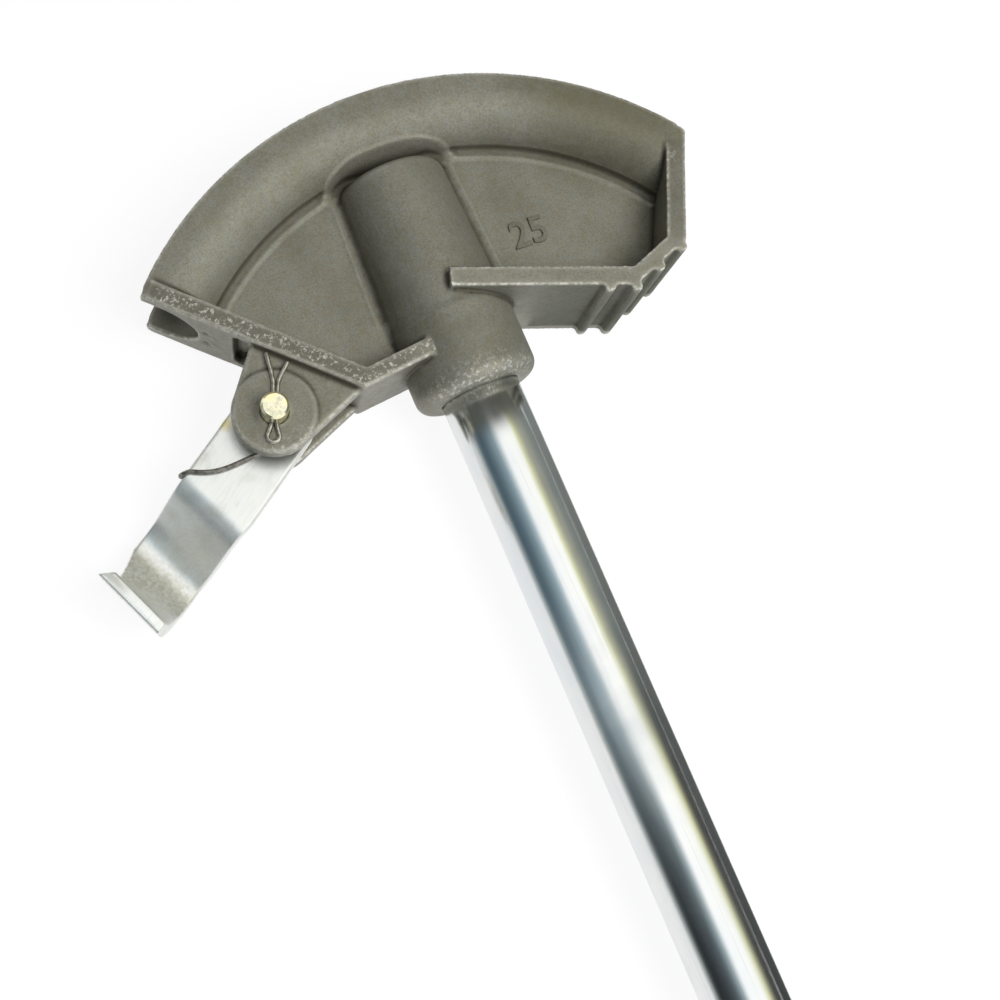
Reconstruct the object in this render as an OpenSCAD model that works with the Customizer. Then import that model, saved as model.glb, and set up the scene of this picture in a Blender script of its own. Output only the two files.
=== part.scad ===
// Hand conduit bender: a cast former head on a steel tube handle, with a sprung swinging hook.
// Frame: the origin is the centre of the bend, in the middle plane of the groove.
// +Z is the axis of the bend and of the hook pin, and the handle runs along -Y.

/* [Conduit groove] */
// Outside diameter of the conduit that the groove takes
conduit_d = 25; // [20:0.5:28]
// Radial room between the conduit and the groove
groove_gap = 0.4; // [0.2:0.1:0.8]
// Radius of the bend at the middle of the conduit
bend_r = 118.5; // [110:0.5:135]
// Wall of the casting round the groove
rim_wall = 3.5; // [2.5:0.5:5]
// Height of the groove's cheeks above the middle of the conduit
cheek_h = 6.1; // [4:0.1:10]
// Radius of the fillet between the rim and the web
rim_fillet_r = 3; // [1:0.5:5]

/* [Web and border walls] */
// Thickness of the web
web_t = 7; // [5:0.5:9]
// Radius of the fillets between the web and its border walls
web_fillet_r = 2.2; // [0.8:0.2:3]
// Direction of the hook wall, seen from the bend centre, in degrees
hook_wall_angle = 135.9; // [132:0.1:140]
// Distance of the hook wall's outer face past the bend centre
hook_wall_drop = 3.6; // [2:0.2:6]
// Thickness of the hook wall
hook_wall_t = 6.6; // [5:0.2:9]
// Width of the hook wall
hook_wall_w = 35.6; // [34:0.2:42]
// Corner radius at the open end of the hook wall
hook_wall_corner_r = 3.5; // [1:0.5:6]
// Distance of the knee, where the hook wall turns to the socket, from the bend centre
knee_reach = 48.8; // [46:0.2:56]
// Slope of the short wall from the knee to the socket, in degrees
level_wall_angle = 5.6; // [0:0.2:9]
// Thickness of the short wall
level_wall_t = 5.8; // [4:0.2:8]

/* [Foot pedal] */
// Slope of the pedal wall, in degrees
pedal_angle = -20.1; // [-24:0.1:-16]
// Distance of the pedal's tread face from the bend centre
pedal_offset = 47.8; // [44:0.2:52]
// Thickness of the pedal wall
pedal_t = 6.35; // [5:0.05:9]
// Width of the pedal
pedal_w = 48; // [44:0.5:56]
// Length of the pedal wall past the foot of the perpendicular from the bend centre
pedal_len = 42.7; // [36:0.1:50]
// Length of the pedal wall on the socket's side of that foot
pedal_back = 18; // [13:0.5:20]
// Slope of the toe wall, in degrees
toe_angle = 20.5; // [16:0.5:26]
// Length of the toe wall along its inner face
toe_len = 15.4; // [12:0.2:18]
// Thickness of the toe wall
toe_t = 5; // [4:0.2:7]
// Direction of the end wall, in degrees
end_wall_angle = 62.5; // [58:0.5:68]
// Thickness of the end wall
end_wall_t = 6.6; // [5:0.2:9]
// Distance between the grip ribs on the toe
rib_pitch = 10.4; // [8:0.2:11]
// Distance of the first grip rib before the tread's corner
first_rib = 8.8; // [6:0.2:12]
// Height of the grip ribs
rib_h = 2.4; // [1.5:0.1:3]
// Radius of the grip ribs' crests
rib_r = 2; // [1.2:0.1:2.4]

/* [Handle socket] */
// Radius of the socket at its closed end
socket_top_r = 18.8; // [17:0.1:22]
// Radius of the socket where the collar starts
socket_low_r = 20.8; // [19:0.1:24]
// Distance of the socket's closed end from the bend centre
socket_top_y = 99.5; // [94:0.5:101]
// Rounding of the socket's closed end
socket_top_edge = 4.5; // [2:0.5:6]
// Radius of the collar at the mouth
collar_r = 21.2; // [20:0.1:26]
// Distance of the collar's shoulder from the bend centre
collar_top_y = 52; // [46:0.5:58]
// Rounding of the collar's shoulder
collar_top_edge = 7; // [3:0.5:9]
// Distance of the mouth from the bend centre
mouth_y = 19.6; // [12:0.2:24]
// Rounding of the mouth's rim
mouth_edge = 4.8; // [1:0.2:5]
// Width of the lead-in chamfer in the mouth
mouth_chamfer = 0.6; // [0.5:0.1:2]
// Radius of the fillets between the socket and the web
socket_fillet_r = 3.4; // [1:0.2:5]
// Width of the hollow round the socket's closed end
socket_hollow = 3.2; // [2:0.1:4]

/* [Handle tube] */
// Outside diameter of the tube
tube_d = 26.9; // [24:0.1:28]
// Wall of the tube
tube_wall = 2.6; // [2:0.1:3.2]
// Length of the tube
tube_len = 960; // [500:10:1200]
// Depth of the tube in the socket
tube_seat = 66.4; // [50:0.2:72]
// Depth by which the socketed end of the tube is turned down
tube_turned = 0.25; // [0.2:0.05:0.5]
// Radial room of the tube in the socket
tube_gap = 0.05; // [0.03:0.01:0.1]
// Chamfer at the free end of the tube
tube_chamfer = 0.6; // [0.3:0.1:1]

/* [Hook ears] */
// Distance of the pin's axis below the hook wall's outer face
pin_drop = 17.3; // [16:0.1:20]
// Distance of the pin's axis along the hook wall
pin_reach = 72.1; // [68:0.1:78]
// Radius of the ears round the pin
ear_r = 13.6; // [12:0.1:15]
// Distance between the two outer faces of the ears
ears_w = 28.6; // [26:0.2:32]
// Clear distance between the two ears
ears_gap = 17.8; // [17:0.1:20]
// Reach of the ears' upper roots along the hook wall
ear_root_reach = 87.4; // [84:0.2:92]
// Reach of the ears' lower roots along the hook wall
ear_low_reach = 49.6; // [49.4:0.2:56]
// Radius of the round boss on each ear
boss_r = 13.2; // [9:0.1:13.5]
// Height of the boss
boss_h = 1; // [0.5:0.1:2]
// Reach of the spring pocket along the hook wall
pocket_reach = 93.3; // [90:0.1:98]
// Depth of the spring pocket
pocket_depth = 3.8; // [2:0.1:4.4]
// Corner radius of the spring pocket
pocket_corner_r = 2.5; // [1:0.1:4]

/* [Hook] */
// Direction of the hook from the pin, in degrees
hook_angle = 213.8; // [205:0.1:225]
// Width of the hook
hook_w = 26.4; // [22:0.2:27]
// Width of the hook at its lip
hook_lip_w = 24.8; // [20:0.2:27]
// Thickness of the hook
hook_t = 4.2; // [3:0.1:4.6]
// Skew of the hook's bends from square across, in degrees
hook_skew = 11.5; // [0:0.5:14]
// Distance from the pin to the middle line of the cradle, square to that line
cradle_reach = 56; // [54:0.1:64]
// Slope of the hook's dip into the cradle, in degrees
dip_angle = 45; // [40:1:50]
// Radius of the bend at the start of the dip, at the middle of the plate
dip_bend_r = 10; // [6:0.5:12]
// Height of the lip's top above the middle plane
lip_top_z = 9.5; // [4:0.5:12]
// Distance by which the cradle stands to one side of the strap's middle line
hook_shift = 2.4; // [0:0.2:3]
// Length by which the lip's inner corner is cut back on that side
lip_notch = 2.8; // [0:0.2:4]
// Length by which the lip's outer corner stands out on that side
lip_flare = 1.2; // [0:0.2:3]

/* [Hook pin] */
// Diameter of the hook pin
pin_d = 8.8; // [7:0.1:10]
// Radial room of the pin in the hook and the ears
pin_gap = 0.05; // [0.03:0.01:0.09]
// Length of the pin that stands out of the front boss
pin_stand = 7.5; // [6:0.1:9]
// Diameter of the pin's head
pin_head_d = 14; // [12:0.2:16]
// Height of the pin's head
pin_head_h = 3; // [2:0.1:4]
// Chamfer at the pin's ends
pin_chamfer = 0.7; // [0.3:0.1:1]

/* [Split pin] */
// Wire radius of the split pin's legs
leg_r = 0.7; // [0.5:0.05:0.8]
// Direction of the split pin, in degrees
split_angle = 66; // [55:1:75]
// Spread of the left leg from that direction, in degrees
left_spread = 16; // [8:1:25]
// Spread of the right leg from that direction, in degrees
right_spread = 24; // [8:1:30]
// Distance from the pin's axis to the bend in the legs
leg_bend_reach = 9.5; // [7:0.5:11]
// Middle radius of the split pin's eye
eye_r = 1.9; // [1.5:0.1:2.4]

/* [Hook spring] */
// Wire diameter of the spring
wire_d = 1.5; // [1.2:0.1:1.6]
// Middle radius of the spring's coils
coil_r = 8.5; // [7.5:0.1:9.5]
// Whole turns in each of the two coils
coil_turns = 2; // [1:1:2]
// Reach of the spring's fixed ends along the hook wall
fixed_end_reach = 90; // [88:0.2:91]

/* [Hidden] */
$fn = 96;

cut = 1;
slit = 0.3;
hair = slit / 10;
// Depth by which the fillets' rounds run into the walls, so that they end at a small angle
fillet_sink = 0.08;

groove_r = conduit_d / 2 + groove_gap;
rim_half_w = groove_r + rim_wall;
rim_r = bend_r + cheek_h;
wall_end_r = rim_r - slit;
reach = 2 * rim_r;
pedal_half_w = pedal_w / 2;
hook_wall_half_w = hook_wall_w / 2;
web_half_t = web_t / 2;

function way(a) = [cos(a), sin(a)];
function cross2(p, q) = p[0] * q[1] - p[1] * q[0];
function at_z(p, z) = [p[0], p[1], z];
// Crossing of the line through p in direction a with the line through q in direction b
function meet(p, a, q, b) = p + way(a) * cross2(q - p, way(b)) / cross2(way(a), way(b));
// Distance from p in direction a to the circle of radius r round the origin
function to_circle(p, a, r) = let (b = p * way(a)) sqrt(b * b + r * r - p * p) - b;
// Point where the line from p touches the circle round c with radius r, on the given side
function touch(p, c, r, side) =
    let (d = norm(c - p), a = atan2(c[1] - p[1], c[0] - p[0]) + side * asin(r / d))
    p + way(a) * sqrt(d * d - r * r);

// Hook wall: its outer face, its inner face and the knee
hook_wall_in = hook_wall_angle - 90;
hook_face = -hook_wall_drop * way(hook_wall_in);
hook_back = hook_face + hook_wall_t * way(hook_wall_in);
hook_mid = (hook_face + hook_back) / 2;
knee = hook_face + knee_reach * way(hook_wall_angle);
level_back = knee + level_wall_t * way(level_wall_angle + 90);
knee_in = meet(hook_back, hook_wall_angle, level_back, level_wall_angle);
level_end = meet(knee, level_wall_angle, [0, 0], 90);
level_back_end = meet(level_back, level_wall_angle, [0, 0], 90);

// Pedal, toe and end walls: tread side and inner side
pedal_in = pedal_angle + 90;
tread = pedal_offset * way(pedal_in);
pedal_back_face = (pedal_offset + pedal_t) * way(pedal_in);
toe_in = pedal_back_face + pedal_len * way(pedal_angle);
toe_out = toe_in + toe_t * way(toe_angle - 90);
end_in = toe_in + toe_len * way(toe_angle);
tread_corner = meet(tread, pedal_angle, toe_out, toe_angle);
end_corner = meet(toe_out, toe_angle, end_in + end_wall_t * way(end_wall_angle - 90), end_wall_angle);
end_wall_len = to_circle(end_in, end_wall_angle, bend_r);

// Hook pin and ears
pin_at = hook_face + pin_reach * way(hook_wall_angle) - pin_drop * way(hook_wall_in);
pin_r = pin_d / 2;
pin_hole_r = pin_r + pin_gap;
ear_face_z = ears_w / 2;
ear_in_z = ears_gap / 2;
boss_z = ear_face_z + boss_h;
pin_tip_z = boss_z + pin_stand;
ear_root = hook_face + ear_root_reach * way(hook_wall_angle);
ear_low_root = hook_face + ear_low_reach * way(hook_wall_angle);

// Handle tube
tube_r = tube_d / 2;
tube_end_r = tube_r - tube_turned;
tube_bore_r = tube_r - tube_wall;
tube_top_y = mouth_y + tube_seat;
tube_free_y = tube_top_y - tube_len;
tube_shoulder_y = mouth_y + mouth_chamfer - 2 * tube_turned;
socket_bore_r = tube_end_r + tube_gap;
collar_shoulder_y = collar_top_y - collar_top_edge;
socket_end_y = socket_top_y - socket_top_edge;

// Hook, along its own X from the pin
cradle_mid_r = groove_r + hook_t / 2;
dip_start = cradle_reach - (cradle_mid_r + dip_bend_r * (1 - cos(dip_angle))) / sin(dip_angle);
dip_len = (cradle_reach - dip_start) * cos(dip_angle) - dip_bend_r * sin(dip_angle);
lip_in = cradle_reach + groove_r;
// Distance along the strap of the bend line at the distance d from the pin, where it crosses y
function on_strap(d, y) = (d + y * sin(hook_skew)) / cos(hook_skew);

// Wire of the split pin and of the spring
split_z = boss_z + leg_r + 2 * hair;
split_hole_r = 2 * leg_r + 3 * hair;
wire_r = wire_d / 2;

// Bending head

// Straight fillet along direction a from p, between the web and a wall on its right or left
module web_fillet(p, a, length, r, right = 0) {
    middle = r - fillet_sink;
    for (face = [0, 1]) mirror([0, 0, face]) translate(at_z(p, web_half_t)) rotate(a)
        mirror([0, right, 0]) rotate([90, 0, 90]) linear_extrude(length) difference() {
            translate([-slit, -slit]) square(middle + slit);
            translate([middle, middle]) circle(r);
        }
}

// Plan of what lies between the middles of the hook wall and of the end wall
module inside_plan() {
    end_mid = (end_in + end_corner) / 2;
    polygon([hook_mid + reach * way(hook_wall_angle), (knee + knee_in) / 2, [0, collar_shoulder_y],
             (tread + pedal_back_face) / 2, (toe_in + tread_corner) / 2, end_mid,
             end_mid + reach * way(end_wall_angle)]);
}

module web() {
    translate([0, 0, -web_half_t]) linear_extrude(web_t) intersection() {
        circle(bend_r - groove_r);
        inside_plan();
    }
}

// Half-round rim with upright cheeks, and its fillets down to the web
module rim_section() {
    fillet_z = web_half_t + rim_fillet_r;
    foot = bend_r - sqrt(pow(rim_half_w + rim_fillet_r, 2) - fillet_z * fillet_z);
    intersection() {
        translate([bend_r, 0]) circle(rim_half_w);
        translate([foot, -rim_half_w]) square([bend_r + cut - foot, 2 * rim_half_w]);
    }
    translate([bend_r, -rim_half_w]) square([cheek_h, 2 * rim_half_w]);
    difference() {
        translate([foot, -fillet_z]) square([groove_r, 2 * fillet_z]);
        for (side = [-1, 1]) translate([foot, side * fillet_z]) circle(rim_fillet_r);
    }
}

module rim() {
    difference() {
        intersection() {
            rotate_extrude() rim_section();
            translate([0, 0, -pedal_w]) linear_extrude(2 * pedal_w) inside_plan();
        }
        for (face = [0, 1]) mirror([0, 0, face]) socket_hollow();
    }
}

// Hollow round the socket's closed end, cut into the rim in front of the web
module socket_hollow() {
    hollow_r = socket_top_r + socket_hollow;
    hollow_y = socket_top_y + socket_hollow;
    edge = socket_top_edge + socket_hollow;
    intersection() {
        rotate([-90, 0, 0]) rotate_extrude() {
            translate([0, collar_top_y]) square([hollow_r, hollow_y - edge - collar_top_y]);
            translate([0, collar_top_y]) square([hollow_r - edge, hollow_y - collar_top_y]);
            translate([hollow_r - edge, hollow_y - edge]) circle(edge);
        }
        translate([-groove_r - hollow_r, 0, web_half_t - fillet_sink])
            cube([2 * (groove_r + hollow_r), rim_r, hollow_r]);
    }
}

// Hook wall from the knee to the rim, with rounded corners there, and a short level wall
module hook_wall() {
    far = reach * way(hook_wall_angle);
    corner = [wall_end_r, hook_wall_half_w] - (hook_wall_corner_r - fillet_sink) * [1, 1];
    difference() {
        translate([0, 0, -hook_wall_half_w]) linear_extrude(hook_wall_w) intersection() {
            circle(wall_end_r);
            polygon([knee, level_end, level_back_end, knee_in, knee_in + far, knee + far]);
        }
        for (side = [0, 1]) mirror([0, 0, side]) translate(at_z(hook_back, 0)) rotate(hook_wall_angle)
            rotate([90, 0, 0]) translate([0, 0, -hook_wall_t - cut])
            linear_extrude(hook_wall_t + 2 * cut) translate(corner) difference() {
                square(2 * hook_wall_corner_r);
                circle(hook_wall_corner_r);
            }
    }
}

// Grip rib on the tread side, at the point p and facing direction a
module grip_rib(p, a) {
    translate(p) rotate(a) {
        translate([rib_h - rib_r, 0]) circle(rib_r);
        translate([-rib_r, -rib_r]) square([rib_h, 2 * rib_r]);
    }
}

// Pedal, toe and end walls: as wide as the pedal up to the toe, then narrower up to the rim
module pedal() {
    far = reach * way(end_wall_angle);
    top_half_w = rim_half_w - slit / 2;
    slope = (pedal_half_w - top_half_w) / end_wall_len;
    difference() {
        translate([0, 0, -pedal_half_w]) linear_extrude(pedal_w) {
            intersection() {
                circle(wall_end_r);
                polygon([tread - pedal_back * way(pedal_angle), tread_corner, end_corner,
                         end_corner + far, end_in + far, end_in, toe_in,
                         pedal_back_face - pedal_back * way(pedal_angle)]);
            }
            grip_rib(tread_corner - first_rib * way(pedal_angle), pedal_angle - 90);
            grip_rib(tread_corner, (pedal_angle + toe_angle) / 2 - 90);
            for (i = [1, 2]) grip_rib(tread_corner + i * rib_pitch * way(toe_angle), toe_angle - 90);
        }
        for (side = [0, 1]) mirror([0, 0, side]) translate(at_z(end_in, 0)) rotate(end_wall_angle)
            rotate([90, 0, 0]) translate([0, 0, -cut]) linear_extrude(end_wall_t + 2 * cut)
            polygon([[-toe_t, pedal_half_w + toe_t * slope], [end_wall_len, top_half_w],
                     [reach, top_half_w], [reach, pedal_w], [-toe_t, pedal_w]]);
    }
}

// Tapered socket with a rounded end, and a wider collar with a rounded shoulder and mouth
module socket() {
    rotate([-90, 0, 0]) rotate_extrude() {
        polygon([[0, mouth_y], [collar_r - mouth_edge, mouth_y], [collar_r, mouth_y + mouth_edge],
                 [collar_r, collar_shoulder_y], [collar_r - collar_top_edge, collar_top_y],
                 [0, collar_top_y]]);
        intersection() {
            translate([collar_r - mouth_edge, mouth_y + mouth_edge]) circle(mouth_edge);
            translate([0, mouth_y]) square([collar_r, mouth_edge]);
        }
        intersection() {
            translate([collar_r - collar_top_edge, collar_shoulder_y]) circle(collar_top_edge);
            translate([0, collar_shoulder_y]) square([collar_r, collar_top_edge]);
        }
        polygon([[0, collar_shoulder_y], [socket_low_r, collar_shoulder_y],
                 [socket_top_r, socket_end_y], [socket_top_r - socket_top_edge, socket_top_y],
                 [0, socket_top_y]]);
        intersection() {
            translate([socket_top_r - socket_top_edge, socket_end_y]) circle(socket_top_edge);
            translate([0, socket_end_y]) square([socket_top_r, socket_top_edge]);
        }
    }
}

module socket_bore() {
    translate([0, tube_top_y, 0]) rotate([90, 0, 0]) cylinder(r = socket_bore_r, h = tube_seat + cut);
    translate([0, mouth_y + mouth_chamfer, 0]) rotate([90, 0, 0])
        cylinder(r1 = socket_bore_r, r2 = socket_bore_r + mouth_chamfer + cut, h = mouth_chamfer + cut);
}

// Middle of the fillet's round beside the socket, where the socket's radius is r
function side_round(r) =
    let (h = web_half_t + socket_fillet_r - fillet_sink, d = r + socket_fillet_r - 2 * fillet_sink)
    sqrt(d * d - h * h);

// Fillets between the web and the tapered sides of the socket
module side_fillets() {
    low = [side_round(socket_low_r), collar_shoulder_y];
    high = [side_round(socket_top_r), socket_end_y];
    inward = side_round(socket_low_r) - socket_low_r + 2 * web_half_t;
    for (side = [0, 1]) mirror([side, 0, 0]) for (face = [0, 1]) mirror([0, 0, face])
        translate(at_z(low, web_half_t)) rotate(atan2(high[1] - low[1], high[0] - low[0]))
        rotate([90, 0, 90]) linear_extrude(norm(high - low)) difference() {
            translate([0, -slit]) square([inward, socket_fillet_r + slit]);
            translate([0, socket_fillet_r - fillet_sink]) circle(socket_fillet_r);
        }
}

// Fillets between the web and the walls
module web_fillets() {
    web_edge = bend_r - rim_half_w;
    web_fillet(knee_in, hook_wall_angle, to_circle(knee_in, hook_wall_angle, web_edge), web_fillet_r,
               right = 1);
    web_fillet(knee_in, level_wall_angle, norm(level_back_end - knee_in), web_fillet_r);
    web_fillet(pedal_back_face, pedal_angle, pedal_len, web_fillet_r);
    web_fillet(toe_in, toe_angle, toe_len, web_fillet_r);
    web_fillet(end_in, end_wall_angle, to_circle(end_in, end_wall_angle, web_edge), web_fillet_r);
}

// Two ears with a round boss on each outer face
module ears() {
    sunk = hook_wall_t / 4 * way(hook_wall_in);
    side_r = ear_r - fillet_sink;
    for (side = [0, 1]) mirror([0, 0, side]) {
        translate([0, 0, ear_in_z]) linear_extrude(ear_face_z - ear_in_z) {
            polygon([ear_root + sunk, ear_root, touch(ear_root, pin_at, side_r, -1), pin_at,
                     touch(ear_low_root, pin_at, side_r, 1), ear_low_root, ear_low_root + sunk]);
            translate(pin_at) circle(ear_r);
        }
        translate(at_z(pin_at, ear_in_z)) cylinder(r = boss_r, h = boss_z - ear_in_z);
    }
}

// Pocket in the outer face of the hook wall, for the fixed ends of the spring
module spring_pocket() {
    start_x = ear_root_reach + slit;
    corner_x = pocket_reach - pocket_corner_r;
    half_w = ear_face_z - slit;
    corner_z = half_w - pocket_corner_r;
    throat_half_w = ear_in_z - slit;
    translate(at_z(hook_face, 0)) rotate(hook_wall_angle) translate([0, -pocket_depth, 0]) {
        translate([start_x, 0, -half_w]) cube([corner_x - start_x, pocket_depth + cut, 2 * half_w]);
        translate([start_x, 0, -corner_z]) cube([pocket_reach - start_x, pocket_depth + cut, 2 * corner_z]);
        for (side = [-1, 1]) translate([corner_x, 0, side * corner_z]) rotate([-90, 0, 0])
            cylinder(r = pocket_corner_r, h = pocket_depth + cut);
        translate([pin_reach, 0, -throat_half_w])
            cube([corner_x - pin_reach, pocket_depth + cut, 2 * throat_half_w]);
    }
}

module groove_section() {
    translate([bend_r, 0]) circle(groove_r);
    translate([bend_r, -groove_r]) square([reach - bend_r, 2 * groove_r]);
}

// Path of the conduit: round the bend, and straight on through the hook wall
module groove() {
    rotate_extrude() groove_section();
    rotate(hook_wall_angle) rotate([-90, 0, 0]) linear_extrude(hook_wall_drop + cut) groove_section();
}

module bending_head() {
    color("dimgray") difference() {
        union() {
            rim();
            web();
            hook_wall();
            pedal();
            socket();
            ears();
            web_fillets();
            side_fillets();
        }
        groove();
        socket_bore();
        spring_pocket();
        translate(at_z(pin_at, -boss_z - cut)) cylinder(r = pin_hole_r, h = 2 * (boss_z + cut));
    }
}

// Handle

module handle_tube() {
    color("lightsteelblue") difference() {
        rotate([90, 0, 0]) {
            translate([0, 0, -tube_top_y]) cylinder(r = tube_end_r, h = tube_seat);
            translate([0, 0, -tube_shoulder_y])
                cylinder(r = tube_r, h = tube_shoulder_y - tube_free_y - tube_chamfer);
            translate([0, 0, -tube_free_y - tube_chamfer])
                cylinder(r1 = tube_r, r2 = tube_r - tube_chamfer, h = tube_chamfer);
        }
        translate([0, tube_top_y + cut, 0]) rotate([90, 0, 0])
            cylinder(r = tube_bore_r, h = tube_len + 2 * cut);
    }
}

// Hook

// Plate as wide as the hook and more, from its edge view
module across_hook() {
    translate([0, hook_w, 0]) rotate([90, 0, 0]) linear_extrude(2 * hook_w) children();
}

// Straight plate along X, with tongues that reach into the pieces before and after it
module straight_plate(length, tongue = slit) {
    across_hook() {
        translate([0, -hook_t / 2]) square([length, hook_t]);
        translate([-slit, -hook_t / 4]) square([slit + length + tongue, hook_t / 2]);
    }
}

// Plate bent round the hook's cross direction between the angles a and b
module bent_plate(r, a, b) {
    far = 2 * (r + hook_t);
    across_hook() intersection() {
        difference() {
            circle(r + hook_t / 2);
            circle(r - hook_t / 2);
        }
        polygon([[0, 0], far * way(a), far * way((a + b) / 2) / cos((b - a) / 2), far * way(b)]);
    }
}

// The plate along the hook: flat at the pin, a dip, the round cradle and the upright lip
module hook_plate() {
    dip_end = dip_start + dip_bend_r * sin(dip_angle);
    translate([-hook_w, 0, 0]) straight_plate(dip_start + hook_w);
    translate([dip_start, 0, -dip_bend_r]) bent_plate(dip_bend_r, 90 - dip_angle, 90);
    translate([dip_end, 0, -dip_bend_r * (1 - cos(dip_angle))]) rotate([0, dip_angle, 0])
        straight_plate(dip_len);
    translate([cradle_reach, 0, 0]) bent_plate(cradle_mid_r, -90 - dip_angle, 0);
    translate([cradle_reach + cradle_mid_r, 0, 0]) rotate([0, -90, 0])
        straight_plate(lip_top_z, tongue = 0);
}

// Plan of the hook: round at the pin, and shifted to one side at the cradle, with a lip skewed like the bends
module hook_plan() {
    half = hook_w / 2;
    low = -hook_lip_w / 2 - hook_shift;
    high = hook_lip_w / 2 - hook_shift;
    circle(half);
    polygon([[0, -half], [on_strap(dip_start, 0), -half], [on_strap(cradle_reach, 0), low],
             [on_strap(lip_in, low + lip_notch), low + lip_notch],
             [on_strap(lip_in + hook_t + slit, low - lip_flare), low - lip_flare],
             [on_strap(lip_in + hook_t + slit, high), high],
             [on_strap(cradle_reach, 0), high], [on_strap(dip_start, 0), half], [0, half]]);
}

module hook() {
    color("silver") translate(at_z(pin_at, 0)) rotate(hook_angle) difference() {
        intersection() {
            rotate(-hook_skew) hook_plate();
            translate([0, 0, -hook_w]) linear_extrude(2 * hook_w) hook_plan();
        }
        translate([0, 0, -hook_t]) cylinder(r = pin_hole_r, h = 2 * hook_t);
    }
}

// Pin and split pin

module hook_pin() {
    color("lightyellow") translate(at_z(pin_at, 0)) difference() {
        union() {
            translate([0, 0, -boss_z]) cylinder(r = pin_r, h = boss_z + pin_tip_z - pin_chamfer);
            translate([0, 0, pin_tip_z - pin_chamfer])
                cylinder(r1 = pin_r, r2 = pin_r - pin_chamfer, h = pin_chamfer);
            translate([0, 0, -boss_z - pin_head_h + pin_chamfer])
                cylinder(r = pin_head_d / 2, h = pin_head_h - pin_chamfer);
            translate([0, 0, -boss_z - pin_head_h])
                cylinder(r1 = pin_head_d / 2 - pin_chamfer, r2 = pin_head_d / 2, h = pin_chamfer);
        }
        translate([0, 0, split_z]) rotate([0, 90, split_angle])
            cylinder(r = split_hole_r, h = 2 * pin_d, center = true);
    }
}

wire_sides = 6;
// A direction that no part of a wire runs along
wire_up = [0.1, 0.2, 1];
eye_steps = 8;
// Half of the angle at which the eye is open
eye_open = 50;
coil_step = 45;
bend_step = 30;
// Points of the spring's path that are neighbours, and so no measure of its gaps
near_points = 3;

function unit(v) = v / norm(v);
function flat_out(v, n) = unit(v - (v * n) * n);
// Direction of the path at point i
function heading(path, i) =
    unit(path[min(i + 1, len(path) - 1)] - path[max(i - 1, 0)]);
// Side directions carried along the path without twist
function carried(path, first) =
    [for (i = 0, s = flat_out(first, heading(path, 0)); i < len(path);
          i = i + 1, s = i < len(path) ? flat_out(s, heading(path, i)) : s) s];

// One unbroken round wire along the path
module wire(path, r) {
    sides = wire_sides;
    side_dirs = carried(path, wire_up);
    last = len(path) - 1;
    points = [for (i = [0 : last]) let (u = side_dirs[i], v = cross(heading(path, i), u))
              for (k = [0 : sides - 1]) let (a = k * 360 / sides) path[i] + r * (cos(a) * u + sin(a) * v)];
    walls = [for (i = [0 : last - 1]) for (k = [0 : sides - 1])
             let (a = i * sides + k, b = i * sides + (k + 1) % sides)
             each [[a, a + sides, b], [b, a + sides, b + sides]]];
    caps = [for (k = [1 : sides - 2]) each [[0, k, k + 1],
            [last * sides, last * sides + k + 1, last * sides + k]]];
    polyhedron(points, concat(walls, caps));
}

// Path of the split pin: one leg, the eye and the other leg, in the pin's frame along +X
leg_gap = leg_r + hair;
eye_x = -(pin_r + 2 * eye_r);
function leg_tip(side, spread) =
    let (bend = leg_bend_reach * way(split_angle) + side * leg_gap * way(split_angle + 90),
         a = split_angle + side * spread,
         room = pin_drop - leg_r - slit - bend * way(hook_wall_in))
    [leg_bend_reach, side * leg_gap] + room / cos(a - hook_wall_in) * way(side * spread);
// One half of it without the eye: the tip, two points round the leg's bend, and the leg in the hole
function leg_path(side, spread) =
    [leg_tip(side, spread), [leg_bend_reach + leg_r, side * (leg_gap + leg_r / 4)],
     [leg_bend_reach - leg_r, side * leg_gap], [-pin_r, side * leg_gap]];
right_path = leg_path(-1, right_spread);
split_flat = concat(
    leg_path(1, left_spread),
    [for (i = [0 : eye_steps]) let (a = eye_open + i * (360 - 2 * eye_open) / eye_steps)
        [eye_x, 0] + eye_r * way(a)],
    [for (i = [len(right_path) - 1 : -1 : 0]) right_path[i]]);

module split_pin() {
    color("gainsboro") translate(at_z(pin_at, split_z)) rotate(split_angle)
        wire([for (p = split_flat) at_z(p, 0)], leg_r);
}

// Hook spring: a coil on each side of the hook, joined by a bend round the hook's edge just before the dip
wrap_gap = wire_r + slit;
wrap_before_dip = 0.6447;
wrap_reach = dip_start - wrap_before_dip;
wrap_at = pin_at + wrap_reach * way(hook_angle) - (hook_w / 2 + wrap_gap) * way(hook_angle + 90);
fixed_at = hook_face + fixed_end_reach * way(hook_wall_angle)
           + (pocket_depth - wire_r) * way(hook_wall_in);
coil_high_z = ear_in_z - slit - wire_r;
coil_low_z = hook_t / 2 + slit + wire_r;
coil_in = touch(fixed_at, pin_at, coil_r, 1);
coil_out = touch(wrap_at, pin_at, coil_r, -1);
coil_start = atan2(coil_in[1] - pin_at[1], coil_in[0] - pin_at[0]);
coil_end = atan2(coil_out[1] - pin_at[1], coil_out[0] - pin_at[0]);
coil_sweep = coil_start - coil_end + 360 * coil_turns;
coil_steps = [for (a = [0 : coil_step : coil_sweep - coil_step / 4]) a];
leg_way = unit(wrap_at - coil_out);
wrap_r = 2 * wire_r;
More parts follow.
